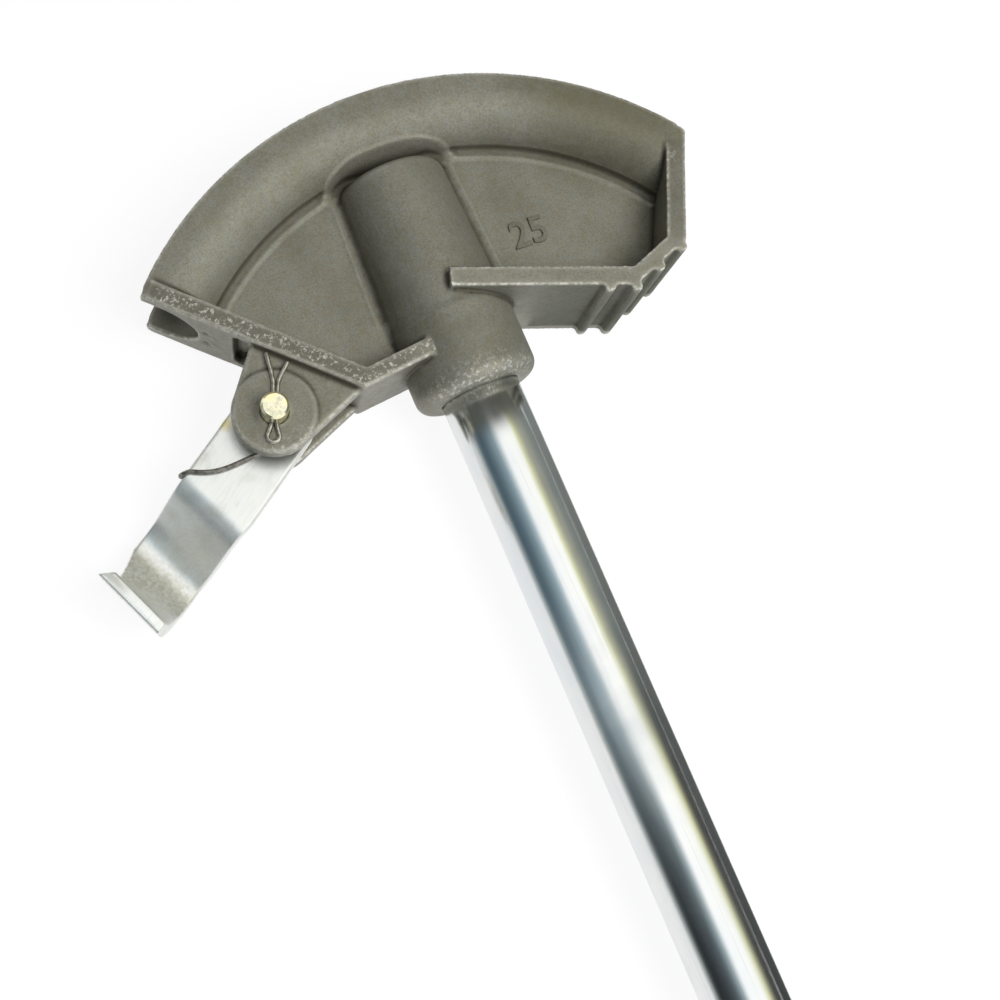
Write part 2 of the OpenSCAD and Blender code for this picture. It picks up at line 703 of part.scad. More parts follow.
front_path = concat(
    [at_z(fixed_at, coil_high_z)],
    [for (a = concat(coil_steps, [coil_sweep]))
        at_z(pin_at + coil_r * way(coil_start - a),
             coil_high_z + (coil_low_z - coil_high_z) * a / coil_sweep)],
    [for (a = [0 : bend_step : 90])
        at_z(wrap_at - wrap_r * (1 - sin(a)) * leg_way, coil_low_z - wrap_r * (1 - cos(a)))]);
spring_path = concat(front_path,
    [for (i = [len(front_path) - 1 : -1 : 0]) [front_path[i][0], front_path[i][1], -front_path[i][2]]]);
spring_gaps = [for (i = [0 : len(spring_path) - 1]) for (j = [i + near_points + 1 : 1 : len(spring_path) - 1])
               norm(spring_path[i] - spring_path[j]) - wire_d];
echo(least_spring_gap = min(spring_gaps));

module torsion_spring() {
    color("darkslategray") wire(spring_path, wire_r);
}

bending_head();
handle_tube();
hook();
hook_pin();
split_pin();
torsion_spring();
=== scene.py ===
"""Hand conduit bender, laid on its side on a pale floor and seen from above.

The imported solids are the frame. The cast head, the tube, the hook and the wires are drawn again here in
finer form, each in the place of its solid, and the pin keeps its solid and gets a finish.
Lengths are written in millimetres and turned to metres where a mesh or a node is made.
"""

import math

import bpy
import numpy as np
from mathutils import Matrix, Vector


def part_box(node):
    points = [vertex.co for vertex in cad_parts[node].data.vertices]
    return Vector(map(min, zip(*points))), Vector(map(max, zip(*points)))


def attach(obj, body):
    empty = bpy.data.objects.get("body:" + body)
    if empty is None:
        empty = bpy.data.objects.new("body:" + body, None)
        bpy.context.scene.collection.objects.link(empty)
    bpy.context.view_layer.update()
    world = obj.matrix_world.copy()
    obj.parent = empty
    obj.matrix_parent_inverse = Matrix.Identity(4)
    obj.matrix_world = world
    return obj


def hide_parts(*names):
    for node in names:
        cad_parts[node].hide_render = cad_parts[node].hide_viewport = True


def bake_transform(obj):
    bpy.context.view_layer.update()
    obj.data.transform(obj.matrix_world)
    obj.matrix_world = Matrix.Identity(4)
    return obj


MM = 0.001
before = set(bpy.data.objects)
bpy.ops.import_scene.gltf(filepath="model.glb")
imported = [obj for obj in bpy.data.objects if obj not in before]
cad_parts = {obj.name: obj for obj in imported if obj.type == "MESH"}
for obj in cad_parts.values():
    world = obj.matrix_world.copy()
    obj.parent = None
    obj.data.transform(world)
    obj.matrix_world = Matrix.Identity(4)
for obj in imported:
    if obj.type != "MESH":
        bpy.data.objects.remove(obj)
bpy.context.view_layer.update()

# Sizes that the solids also have, in millimetres and degrees
GROOVE_R = 12.9
BEND_R = 118.5
HOOK_WALL_ANGLE = 135.9
HOOK_WALL_DROP = 3.6
PIN_REACH = 72.1
PIN_DROP = 17.3
PIN_R = 4.4
PIN_HOLE_R = 4.45
BOSS_Z = 15.3
HOOK_ANGLE = 213.8
HOOK_W = 26.4
HOOK_LIP_W = 24.8
HOOK_T = 4.2
HOOK_SKEW = 11.5
HOOK_SHIFT = 2.4
CRADLE_REACH = 56
DIP_ANGLE = 45
DIP_BEND_R = 10
LIP_TOP_Z = 9.5
LIP_NOTCH = 2.8
LIP_FLARE = 1.2
TUBE_R = 13.45
TUBE_TURNED = 0.25
TUBE_WALL = 2.6
TUBE_TOP_Y = 86
TUBE_SHOULDER_Y = 19.7
TUBE_FREE_Y = -874
TUBE_CHAMFER = 0.6
WEB_FACE_Z = 3.5
WEB_EDGE_R = 100.3
SOCKET_TOP_R = 18.8
SOCKET_TOP_Y = 99.5
SOCKET_LOW_R = 20.8
SOCKET_FILLET_R = 3.4
COLLAR_TOP_Y = 52


def way(degrees):
    """Unit vector in the XY plane, at that angle from +X."""
    a = math.radians(degrees)
    return np.array([math.cos(a), math.sin(a)])


def at_z(point, z):
    """The point of the XY plane, lifted to that height."""
    return np.array([point[0], point[1], z])


HOOK_FACE = -HOOK_WALL_DROP * way(HOOK_WALL_ANGLE - 90)
PIN_AT = HOOK_FACE + PIN_REACH * way(HOOK_WALL_ANGLE) - PIN_DROP * way(HOOK_WALL_ANGLE - 90)


# Meshes

QUARTER_TURN = np.radians(np.linspace(0, 90, 5))
SPAN_POINTS = 24
WIRE_SIDES = 14
# The last ring of a wire has this share of its radius, so that the cut ends are rounded
CUT_END = 0.6


def show(piece):
    """Adds the object to the scene."""
    bpy.context.scene.collection.objects.link(piece)
    return piece


def mesh_object(name, points, faces):
    """A smooth mesh object at the origin. points are in millimetres, and faces are lists of point numbers."""
    mesh = bpy.data.meshes.new(name)
    mesh.from_pydata((np.asarray(points) * MM).tolist(), [], faces)
    mesh.validate()
    mesh.shade_smooth()
    return show(bpy.data.objects.new(name, mesh))


def baked(thing):
    """A new mesh of what the object looks like with its modifiers or its text settings."""
    return bpy.data.meshes.new_from_object(thing.evaluated_get(bpy.context.evaluated_depsgraph_get()))


def apply_modifier(piece, kind, **settings):
    """Puts one modifier on the piece and makes its result the piece's mesh."""
    modifier = piece.modifiers.new(kind.lower(), kind)
    for key, value in settings.items():
        setattr(modifier, key, value)
    shaped = baked(piece)
    piece.modifiers.clear()
    old = piece.data
    piece.data = shaped
    bpy.data.meshes.remove(old)


def read(layer, field):
    """A mesh layer's vectors, as an array with a row of three numbers for each point."""
    values = np.empty(len(layer) * 3)
    layer.foreach_get(field, values)
    return values.reshape(-1, 3)


def store(mesh, name, values):
    """Keeps one number for each point on the mesh, for its material to read."""
    layer = mesh.attributes.new(name, "FLOAT", "POINT")
    layer.data.foreach_set("value", values.astype(np.float32))


def grid_faces(rows, columns, wrap_rows):
    """Quads between neighbouring points of a grid whose columns close on themselves."""
    row = np.arange(rows if wrap_rows else rows - 1)[:, None]
    column = np.arange(columns)[None, :]
    after = (row + 1) % rows
    beside = (column + 1) % columns
    corners = [row * columns + column, row * columns + beside, after * columns + beside,
               after * columns + column]
    return np.stack([np.broadcast_to(c, (len(row), columns)) for c in corners], -1).reshape(-1, 4)


def tube_mesh(name, rings, closed=False):
    """Surface through rings of points, an array (rings, points, 3).

    The end rings get a flat fan each, or are joined to each other where the surface is closed.
    """
    count, around = rings.shape[:2]
    points = rings.reshape(-1, 3)
    faces = grid_faces(count, around, closed).tolist()
    if not closed:
        for ring, order in ((0, -1), (count - 1, 1)):
            middle = len(points)
            points = np.vstack([points, rings[ring].mean(0)])
            start = ring * around
            faces += [[start + i, start + (i + 1) % around, middle][::order] for i in range(around)]
    return mesh_object(name, points, faces)


def revolve(name, profile, sides):
    """Closed profile of (radius, y) points turned once round the Y axis."""
    angle = np.arange(sides) * 2 * math.pi / sides
    radius, y = np.asarray(profile).T
    rings = np.stack([radius[:, None] * np.cos(angle), np.broadcast_to(y[:, None], (len(y), sides)),
                      -radius[:, None] * np.sin(angle)], -1)
    return tube_mesh(name, rings, closed=True)


def smooth_path(points, step):
    """Catmull-Rom curve through the points, then points at an even distance along it."""
    points = np.asarray(points, float)
    full = np.vstack([2 * points[0] - points[1], points, 2 * points[-1] - points[-2]])
    t = np.linspace(0, 1, SPAN_POINTS, endpoint=False)[:, None]
    spans = []
    for a, b, c, d in zip(full, full[1:], full[2:], full[3:]):
        spans.append(0.5 * (2 * b + (c - a) * t + (2 * a - 5 * b + 4 * c - d) * t**2
                            + (3 * b - a - 3 * c + d) * t**3))
    dense = np.vstack(spans + [points[-1:]])
    run = np.concatenate([[0], np.cumsum(np.linalg.norm(np.diff(dense, axis=0), axis=1))])
    even = np.linspace(0, run[-1], int(run[-1] / step) + 1)
    return np.stack([np.interp(even, run, dense[:, i]) for i in range(3)], 1)


def wire(name, path, radius):
    """Round wire along a path: each ring stands square to the path, and its start is carried on untwisted."""
    heading = np.gradient(path, axis=0)
    heading /= np.linalg.norm(heading, axis=1)[:, None]
    # The first ring may start in any direction that the wire doesn't run in
    side = np.cross(heading[0], [0.1, 0.2, 1.0])
    sides_along = []
    for ahead in heading:
        side = side - (side @ ahead) * ahead
        side = side / np.linalg.norm(side)
        sides_along.append(side)
    across = np.array(sides_along)
    up = np.cross(heading, across)
    angle = np.arange(WIRE_SIDES) * 2 * math.pi / WIRE_SIDES
    ring = np.cos(angle)[None, :, None] * across[:, None] + np.sin(angle)[None, :, None] * up[:, None]
    draw_in = np.ones(len(path))
    draw_in[[0, -1]] = CUT_END
    return tube_mesh(name, path[:, None] + radius * draw_in[:, None, None] * ring)


def arc(centre, radius, start, end, count):
    """Points on an arc in the XY plane, from the start angle to the end angle in degrees."""
    a = np.radians(np.linspace(start, end, count))
    return np.stack([centre[0] + radius * np.cos(a), centre[1] + radius * np.sin(a)], 1)


# Cast head

WELD_GAP = 0.002
HEAD_VOXEL = 0.6
HEAD_TRIANGLES = 192000
EASE_SHARE = 0.5
EASE_STEPS = 3
# The skin stays true this close to a bore that another piece sits in
FIT_ROOM = 0.6
# Uneven skin: its height and number of waves, the first one's length, and how each next one differs
CAST_WAVE = 0.05
WAVES = 6
WAVE_FIRST = 9
WAVE_STEP = 2.2
WAVE_SHIFT = 2.1
# A rounding of this radius has an edge_turn of 1, and points share theirs with their neighbours
EDGE_RADIUS = 1.1
SHARE_ROUNDS = 2
SHARE_KEPT = 0.4
SHARE_TAKEN = 0.6
# Beads, and grooves with a height below 0, as (height, half width), each with its place: outside the web's
# edge or the socket's foot, and above the web's face
WEB_BEAD = (0.45, 1.0)
RIM_GROOVE = (-0.55, 1.5)
RIM_GROOVE_AT = (2.6, 1.4)
SOCKET_BEAD = (0.35, 0.9)
SOCKET_BEAD_OUT = 0.2
SOCKET_GROOVE = (-0.5, 1.2)
SOCKET_GROOVE_AT = (-1.9, 1.0)
HOLLOW_BEAD = (0.6, 0.9)
HOLLOW_BEAD_OUT = 0.5
# The hollow round the socket's top as (side's radius, end, rounding): the solid's, and the skin's wider one
SOLID_HOLLOW = (SOCKET_TOP_R + 3.2, SOCKET_TOP_Y + 3.2, 7.7)
WIDE_HOLLOW = (SOCKET_TOP_R + 4.8, SOCKET_TOP_Y + 6.6, 11.5)
# How far a line takes to set in at the rim's foot and beside the hollow
RIM_EASE = 0.6
HOLLOW_EASE = 1.5
# The slope runs from outside the wide hollow's border to inside the solid one's, and starts inside the web
SLOPE_OUT = 0.6
SLOPE_IN = -2.9
SLOPE_STEPS = 40
WEB_MARGIN = 1.5
# Painted shade sets in inside the wide hollow's border and stops inside the solid one's
HOLLOW_SHADE_START = (0.5, 3.5)
HOLLOW_SHADE_STOP = (-3.3, -2.6)
HOLLOW_SHADE = 0.25


def edge_turn(mesh):
    """How sharply the surface turns at each point: 1 on an outer edge of EDGE_RADIUS, below 0 in a corner.

    Along each mesh edge the turn of the normals, seen along the edge, over its length is the curvature there.
    """
    place = read(mesh.vertices, "co")
    normal = read(mesh.vertex_normals, "vector")
    pairs = np.empty(len(mesh.edges) * 2, dtype=np.int32)
    mesh.edges.foreach_get("vertices", pairs)
    a, b = pairs.reshape(-1, 2).T
    step = place[b] - place[a]
    length2 = np.maximum((step**2).sum(1), 1e-12)
    turn = ((normal[b] - normal[a]) * step).sum(1) / length2
    degree = np.bincount(np.concatenate([a, b]), minlength=len(place))
    value = np.bincount(np.concatenate([a, b]), np.concatenate([turn, turn]), len(place)) / degree
    for _ in range(SHARE_ROUNDS):
        spread = np.bincount(a, value[b], len(place)) + np.bincount(b, value[a], len(place))
        value = SHARE_KEPT * value + SHARE_TAKEN * spread / degree
    return value * EDGE_RADIUS * MM


def facing(mesh):
    """How squarely the surface faces up or down at each point: 1 where level, 0 where upright."""
    return np.abs(read(mesh.vertex_normals, "vector")[:, 2])


def ease_in(value, start, end):
    """0 up to start and 1 from end on, with a smooth rise between them."""
    share = np.clip((value - start) / (end - start), 0, 1)
    return share * share * (3 - 2 * share)


def bead(distance, height, half_width):
    """The height on a line, falling off on both sides like a bell."""
    return height * np.exp(-(distance / half_width)**2)


def from_hollow(place, side, end, rounding):
    """Distance from the border of a hollow round the socket's top, negative inside it.

    The hollow is a cylinder round the Y axis with a rounded end.
    """
    across = np.hypot(place[:, 0], place[:, 2]) - (side - rounding)
    along = place[:, 1] - (end - rounding)
    outside = np.hypot(np.maximum(across, 0), np.maximum(along, 0))
    return outside + np.minimum(np.maximum(across, along), 0) - rounding


def cast_waves(place):
    """Mean of some long sine waves in fixed directions, each longer than the last, at points in metres."""
    lift = np.zeros(len(place))
    for i in range(WAVES):
        across = np.array([math.sin(2.4 * i + 0.5), math.cos(1.7 * i), math.sin(3.1 * i + 1.2)])
        along = place @ (across / np.linalg.norm(across))
        lift += np.sin(along * 2 * math.pi / ((WAVE_FIRST + WAVE_STEP * i) * MM) + WAVE_SHIFT * i)
    return lift / WAVES * CAST_WAVE


def mould_lines(place):
    """How far the skin stands out of the solid, in millimetres, at points given in millimetres.

    A bead runs along the web's edge, with a groove outside it at the rim's foot and at the socket's side.
    Round the socket's top the hollow is wider than the solid's, and a bead goes round it.
    """
    x, y, z = place.T
    radius, up = np.hypot(x, y), np.abs(z) - WEB_FACE_Z
    out = radius - WEB_EDGE_R
    wide = from_hollow(place, *WIDE_HOLLOW)
    on_rim = ease_in(radius, WEB_EDGE_R - RIM_EASE, WEB_EDGE_R + RIM_EASE) * (y > COLLAR_TOP_Y)
    lift = ease_in(wide, 0, HOLLOW_EASE) * (
        bead(np.hypot(out, up), *WEB_BEAD)
        + bead(np.hypot(out - RIM_GROOVE_AT[0], up - RIM_GROOVE_AT[1]), *RIM_GROOVE))
    lift += on_rim * bead(wide - HOLLOW_BEAD_OUT, *HOLLOW_BEAD)
    # The socket narrows evenly to its top, and beyond is the distance from the foot of its fillet on the web
    socket_r = (SOCKET_TOP_R
                + (SOCKET_LOW_R - SOCKET_TOP_R) * (SOCKET_TOP_Y - y) / (SOCKET_TOP_Y - COLLAR_TOP_Y))
    foot = np.sqrt((socket_r + SOCKET_FILLET_R)**2 - (WEB_FACE_Z + SOCKET_FILLET_R)**2)
    beyond = np.abs(x) - foot
    beside = (y > COLLAR_TOP_Y) * (1 - on_rim)
    return lift + beside * (
        bead(np.hypot(beyond - SOCKET_BEAD_OUT, up), *SOCKET_BEAD)
        + bead(np.hypot(beyond - SOCKET_GROOVE_AT[0], up - SOCKET_GROOVE_AT[1]), *SOCKET_GROOVE))


def cast_head():
    """The head's solid with the roundings and the slightly uneven skin that sand casting leaves on it."""
    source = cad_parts["bending_head"]
    piece = show(bpy.data.objects.new("cast_head", source.data.copy()))
    apply_modifier(piece, "WELD", merge_threshold=WELD_GAP * MM)
    apply_modifier(piece, "REMESH", mode="VOXEL", voxel_size=HEAD_VOXEL * MM, use_smooth_shade=True)
    apply_modifier(piece, "SMOOTH", factor=EASE_SHARE, iterations=EASE_STEPS)
    place = read(piece.data.vertices, "co")
    normal = read(piece.data.vertex_normals, "vector")
    # The fitted bore of the tube and the pin's bore stay true
    from_pin = np.hypot(place[:, 0] - PIN_AT[0] * MM, place[:, 1] - PIN_AT[1] * MM)
    from_tube = np.hypot(place[:, 0], place[:, 2])
    beyond_tube = (from_tube > (TUBE_R + FIT_ROOM) * MM) | (place[:, 1] > TUBE_TOP_Y * MM)
    free = (from_pin > (PIN_R + FIT_ROOM) * MM) & beyond_tube
    place += normal * ((cast_waves(place) + mould_lines(place / MM)) * MM * free)[:, None]
    piece.data.vertices.foreach_set("co", place.ravel())
    # The hollow round the socket's top has no step in it, only one slope from its bead to the socket
    at = place / MM
    slope = ((from_hollow(at, *WIDE_HOLLOW) < SLOPE_OUT) & (from_hollow(at, *SOLID_HOLLOW) > SLOPE_IN)
             & (np.hypot(at[:, 0], at[:, 1]) > WEB_EDGE_R - WEB_MARGIN) & (at[:, 1] > COLLAR_TOP_Y))
    piece.vertex_groups.new(name="slope").add(np.flatnonzero(slope).tolist(), 1.0, "REPLACE")
    apply_modifier(piece, "SMOOTH", factor=EASE_SHARE, iterations=SLOPE_STEPS, vertex_group="slope")
    triangles = sum(len(p.vertices) - 2 for p in piece.data.polygons)
    apply_modifier(piece, "DECIMATE", ratio=HEAD_TRIANGLES / triangles)
    mesh = piece.data
    mesh.shade_smooth()
    # Painted shade darkens the hollow round the socket's top, as shade darkens a corner
    at = read(mesh.vertices, "co") / MM
    painted_hollow_shade = (ease_in(-from_hollow(at, *WIDE_HOLLOW), *HOLLOW_SHADE_START)
                 * ease_in(from_hollow(at, *SOLID_HOLLOW), *HOLLOW_SHADE_STOP)
                 * ease_in(np.hypot(at[:, 0], at[:, 1]), WEB_EDGE_R - WEB_MARGIN, WEB_EDGE_R)
                 * (at[:, 1] > COLLAR_TOP_Y))
    store(mesh, "edge_turn", edge_turn(mesh) - HOLLOW_SHADE * painted_hollow_shade)
    store(mesh, "facing", facing(mesh))
    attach(piece, "frame")
    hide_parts("bending_head")
    return piece


SIZE_MARK = "25"
MARK_HEIGHT = 9.6
MARK_RAISE = 0.6
MARK_EDGE = 0.12
MARK_THICKENED = 0.05
MARK_CURVE_STEPS = 6
MARK_AT = (30.2, 60.4)
MARK_TURN = -2
# The font's size over the height of its digits
FONT_OVER_DIGIT = 1.38
# The digits' edge_turn at their foot, and the share of their height that counts as the foot
FOOT_SHADE_TURN = -0.4
MARK_FOOT = 0.6


def size_mark():
    """The conduit's size as two plain raised digits on the web."""
    text = bpy.data.curves.new("size_mark", "FONT")
    text.body = SIZE_MARK
    text.size = MARK_HEIGHT * FONT_OVER_DIGIT * MM
    text.extrude = MARK_RAISE * MM
    text.bevel_depth = MARK_EDGE * MM
    text.bevel_resolution = 1
    text.offset = MARK_THICKENED * MM
    text.resolution_u = MARK_CURVE_STEPS
    holder = show(bpy.data.objects.new("size_mark_text", text))
    mesh = baked(holder)
    bpy.data.objects.remove(holder)
    mesh.transform(Matrix.Translation(Vector((MARK_AT[0], MARK_AT[1], WEB_FACE_Z)) * MM)
                   @ Matrix.Rotation(math.radians(MARK_TURN), 4, "Z"))
    piece = show(bpy.data.objects.new("size_mark", mesh))
    # Painted shade lies thick at the digits' foot, in the corner with the web, and thin on the rest of them
    low = read(mesh.vertices, "co")[:, 2] < (WEB_FACE_Z + MARK_FOOT * MARK_RAISE) * MM
    store(mesh, "edge_turn", np.where(low, FOOT_SHADE_TURN, FOOT_SHADE_TURN / 3))
    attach(piece, "frame")
    return piece


# Handle

TUBE_SIDES = 160
TUBE_RING_GAP = 20.0
TUBE_BREAK = 0.3


def handle_tube():
    """Zinc plated pipe, revolved from its wall's outline, with eased edges at the free end."""
    end_r = TUBE_R - TUBE_TURNED
    bore_r = TUBE_R - TUBE_WALL
    # Along the outside from the socket to the free end, with rings all along the long wall
    wall_y = np.arange(TUBE_SHOULDER_Y, TUBE_FREE_Y + TUBE_CHAMFER, -TUBE_RING_GAP)
    outside = [(end_r, TUBE_TOP_Y), (end_r, TUBE_SHOULDER_Y + TUBE_BREAK)] + [(TUBE_R, y) for y in wall_y]
    end_edge = [(TUBE_R - TUBE_CHAMFER * (1 - math.cos(a)), TUBE_FREE_Y + TUBE_CHAMFER * (1 - math.sin(a)))
                for a in QUARTER_TURN]
    inside = [(bore_r + TUBE_BREAK, TUBE_FREE_Y), (bore_r, TUBE_FREE_Y + TUBE_BREAK), (bore_r, TUBE_TOP_Y)]
    piece = revolve("zinc_tube", outside + end_edge + inside, TUBE_SIDES)
    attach(piece, "frame")
    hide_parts("handle_tube")
    return piece


# Hook

HOOK_EDGE = 0.7
HOOK_STEP = 0.9
# The strap's round end has this many rings between these two angles from its tip
ROUND_END = (3, 84, 28)
DIP_RINGS = 12
CRADLE_RINGS = 56
LIP_RINGS = 9
OUTLINE_POINTS = 60
BORE_SIDES = 64


def hook_centreline():
    """Middle line of the plate square to its bends, and where the dip starts.

    The line is given as (distance from the pin, height).
    """
    middle_r = GROOVE_R + HOOK_T / 2
    dip = math.radians(DIP_ANGLE)
    start = CRADLE_REACH - (middle_r + DIP_BEND_R * (1 - math.cos(dip))) / math.sin(dip)
    straight = (CRADLE_REACH - start) * math.cos(dip) - DIP_BEND_R * math.sin(dip)
    round_end = -HOOK_W / 2 * np.cos(np.radians(np.linspace(*ROUND_END)))
    flat = np.concatenate([round_end, np.arange(0, start, HOOK_STEP)])
    flat = np.stack([flat, np.zeros_like(flat)], 1)
    bend_a = np.radians(np.linspace(90, 90 - DIP_ANGLE, DIP_RINGS))
    bend = np.stack([start + DIP_BEND_R * np.cos(bend_a), DIP_BEND_R * (np.sin(bend_a) - 1)], 1)
    run = np.linspace(0, straight, DIP_RINGS)[1:-1, None]
    slope = bend[-1] + run * np.array([math.cos(dip), -math.sin(dip)])
    cradle_a = np.radians(np.linspace(-90 - DIP_ANGLE, 0, CRADLE_RINGS))
    cradle = np.stack([CRADLE_REACH + middle_r * np.cos(cradle_a), middle_r * np.sin(cradle_a)], 1)
    lip_z = np.concatenate([np.linspace(0, LIP_TOP_Z - HOOK_EDGE, LIP_RINGS)[1:-1],
                            LIP_TOP_Z - HOOK_EDGE * (1 - np.sin(QUARTER_TURN))])
    lip = np.stack([np.full(len(lip_z), CRADLE_REACH + middle_r), lip_z], 1)
    return np.vstack([flat, bend, slope, cradle, lip]), start


def hook_edges(distance, start):
    """Places across of the hook's two edges at a distance from the pin, both square to the bends."""
    skew = math.radians(HOOK_SKEW)
    half = HOOK_W / 2
    low, high = -HOOK_LIP_W / 2 - HOOK_SHIFT, HOOK_LIP_W / 2 - HOOK_SHIFT
    lip = CRADLE_REACH + GROOVE_R

    def on_strap(square, across):
        return [(square + across * math.sin(skew)) / math.cos(skew), across]

    def chain(first_angle, last_angle, corners):
        circle = half * np.array([way(a) for a in np.linspace(first_angle, last_angle, OUTLINE_POINTS)])
        outline = np.vstack([circle, corners])
        return (outline[:, 0] * math.cos(skew) - outline[:, 1] * math.sin(skew),
                outline[:, 0] * math.sin(skew) + outline[:, 1] * math.cos(skew))

    tip = 180 - HOOK_SKEW
    start_x, cradle_x = on_strap(start, 0)[0], on_strap(CRADLE_REACH, 0)[0]
    low_chain = chain(tip, 270, [[start_x, -half], [cradle_x, low], on_strap(lip, low + LIP_NOTCH),
                                 on_strap(lip + HOOK_T, low - LIP_FLARE)])
    high_chain = chain(tip, 90, [[start_x, half], [cradle_x, high], on_strap(lip + HOOK_T, high)])
    return np.interp(distance, *low_chain), np.interp(distance, *high_chain)


def swinging_hook():
    """Bent strap, bored for the pin.

    A rounded rectangle is carried along the middle line, and reaches from edge to edge of the plan.
    """
    line, start = hook_centreline()
    heading = np.gradient(line, axis=0)
    heading /= np.linalg.norm(heading, axis=1)[:, None]
    lift = np.stack([-heading[:, 1], heading[:, 0]], 1)
    # The lip's last rings draw in, so that its top is rounded too
    draw_in = np.zeros((len(line), 1))
    draw_in[-len(QUARTER_TURN):, 0] = HOOK_EDGE * (1 - np.cos(QUARTER_TURN))
    # Round the section: over the top face, down the low edge, back under it and up the high edge
    rise, ease = HOOK_EDGE * (np.sin(QUARTER_TURN) - 1), HOOK_EDGE * (1 - np.cos(QUARTER_TURN))
    support = 2 * HOOK_EDGE
    face = np.repeat([1, -1, -1, 1], len(QUARTER_TURN) + 1)
    edge = np.repeat([-1, -1, 1, 1], len(QUARTER_TURN) + 1)
    rise = np.tile(np.concatenate([[0], rise[::-1], rise, [0]]), 2)
    ease = np.tile(np.concatenate([[support], ease[::-1], ease, [support]]), 2)
    height = face * (HOOK_T / 2 - draw_in + rise)
    distance = line[:, :1] + height * lift[:, :1]
    z = line[:, 1:] + height * lift[:, 1:]
    low, high = hook_edges(distance, start)
    inset = np.minimum(ease + draw_in, (high - low) / 2)
    across = np.where(edge > 0, high - inset, low + inset)
    turn = math.radians(HOOK_ANGLE - HOOK_SKEW)
    x = PIN_AT[0] + distance * math.cos(turn) - across * math.sin(turn)
    y = PIN_AT[1] + distance * math.sin(turn) + across * math.cos(turn)
    piece = tube_mesh("swinging_hook", np.stack([x, y, z], -1))
    circle = np.array([at_z(p, 0) for p in arc(PIN_AT, PIN_HOLE_R, 0, 360, BORE_SIDES + 1)[:-1]])
    cutter = tube_mesh("pin_bore", circle[None] + np.array([[[0, 0, -HOOK_T]], [[0, 0, HOOK_T]]]))
    apply_modifier(piece, "BOOLEAN", operation="DIFFERENCE", object=cutter, solver="EXACT")
    bpy.data.objects.remove(cutter)
    store(piece.data, "facing", facing(piece.data))
    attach(piece, "hook")
    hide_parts("hook")
    return piece


# Split pin

LEG_R = 0.7
# Room between the wire and the boss, and between each leg and the pin's middle plane
BOSS_ROOM = 0.075
LEG_ROOM = 0.03
SPLIT_Z = BOSS_Z + LEG_R + BOSS_ROOM
SPLIT_ANGLE = 66
LEFT_SPREAD = 16
RIGHT_SPREAD = 24
# A leg is straight to this distance behind the pin, bends between the two next ones, and spreads after them
LEG_BEND = 9.5
BEFORE_BEND = 1.4
AFTER_BEND = 1.6
HEAD_LEAD = 0.6
EYE_R = 1.9
EYE_ARC = (55, 305, 9)
SPLIT_STEP = 0.35
SLIT = 0.3


def split_pin():
    """Wire doubled back on itself: an eye in front of the pin, two legs through it, spread behind it."""
    wall_way = way(HOOK_WALL_ANGLE - 90)
    gap = LEG_R + LEG_ROOM

    def leg(side, spread):
        bend = LEG_BEND * way(SPLIT_ANGLE) + side * gap * way(SPLIT_ANGLE + 90)
        room = PIN_DROP - LEG_R - SLIT - bend @ wall_way
        reach = room / math.cos(math.radians(SPLIT_ANGLE + side * spread - (HOOK_WALL_ANGLE - 90)))
        start = np.array([LEG_BEND, side * gap])
        end = start + reach * way(side * spread)
        return [end, start + 0.5 * (end - start), start + AFTER_BEND * way(side * spread),
                start - [BEFORE_BEND, 0], np.array([0, side * gap]),
                np.array([-PIN_R + HEAD_LEAD, side * gap])]

    eye = arc((-(PIN_R + 2 * EYE_R), 0), EYE_R, *EYE_ARC)
    flat = np.array(leg(1, LEFT_SPREAD) + list(eye) + leg(-1, RIGHT_SPREAD)[::-1])
    turned = flat[:, :1] * way(SPLIT_ANGLE) + flat[:, 1:] * way(SPLIT_ANGLE + 90)
    path = np.hstack([PIN_AT + turned, np.full((len(turned), 1), SPLIT_Z)])
    piece = wire("split_pin_wire", smooth_path(path, SPLIT_STEP), LEG_R)
    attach(piece, "frame")
    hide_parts("split_pin")
    return piece


# Spring

SPRING_R = 0.75
COIL_R = 8.5
COIL_TURNS = 2
EAR_IN_Z = 8.9
WRAP_REACH = 31.2
FIXED_REACH = 90
POCKET_DEPTH = 3.8
# The leg bows out by this much, and the power keeps the bow towards the hook
LEG_BOW = 2.2
BOW_POWER = 1.8
COIL_POINTS = 110
FIXED_LEG_POINTS = 14
MOVING_LEG_POINTS = 26
WRAP_POINTS = 12


def touching(point, radius, side):
    """Where the straight line from point touches the circle of that radius round the pin, on that side."""
    to_pin = PIN_AT - point
    distance = np.linalg.norm(to_pin)
    aside = math.degrees(math.asin(radius / distance))
    angle = math.degrees(math.atan2(to_pin[1], to_pin[0])) + side * aside
    return point + way(angle) * math.sqrt(distance**2 - radius**2)


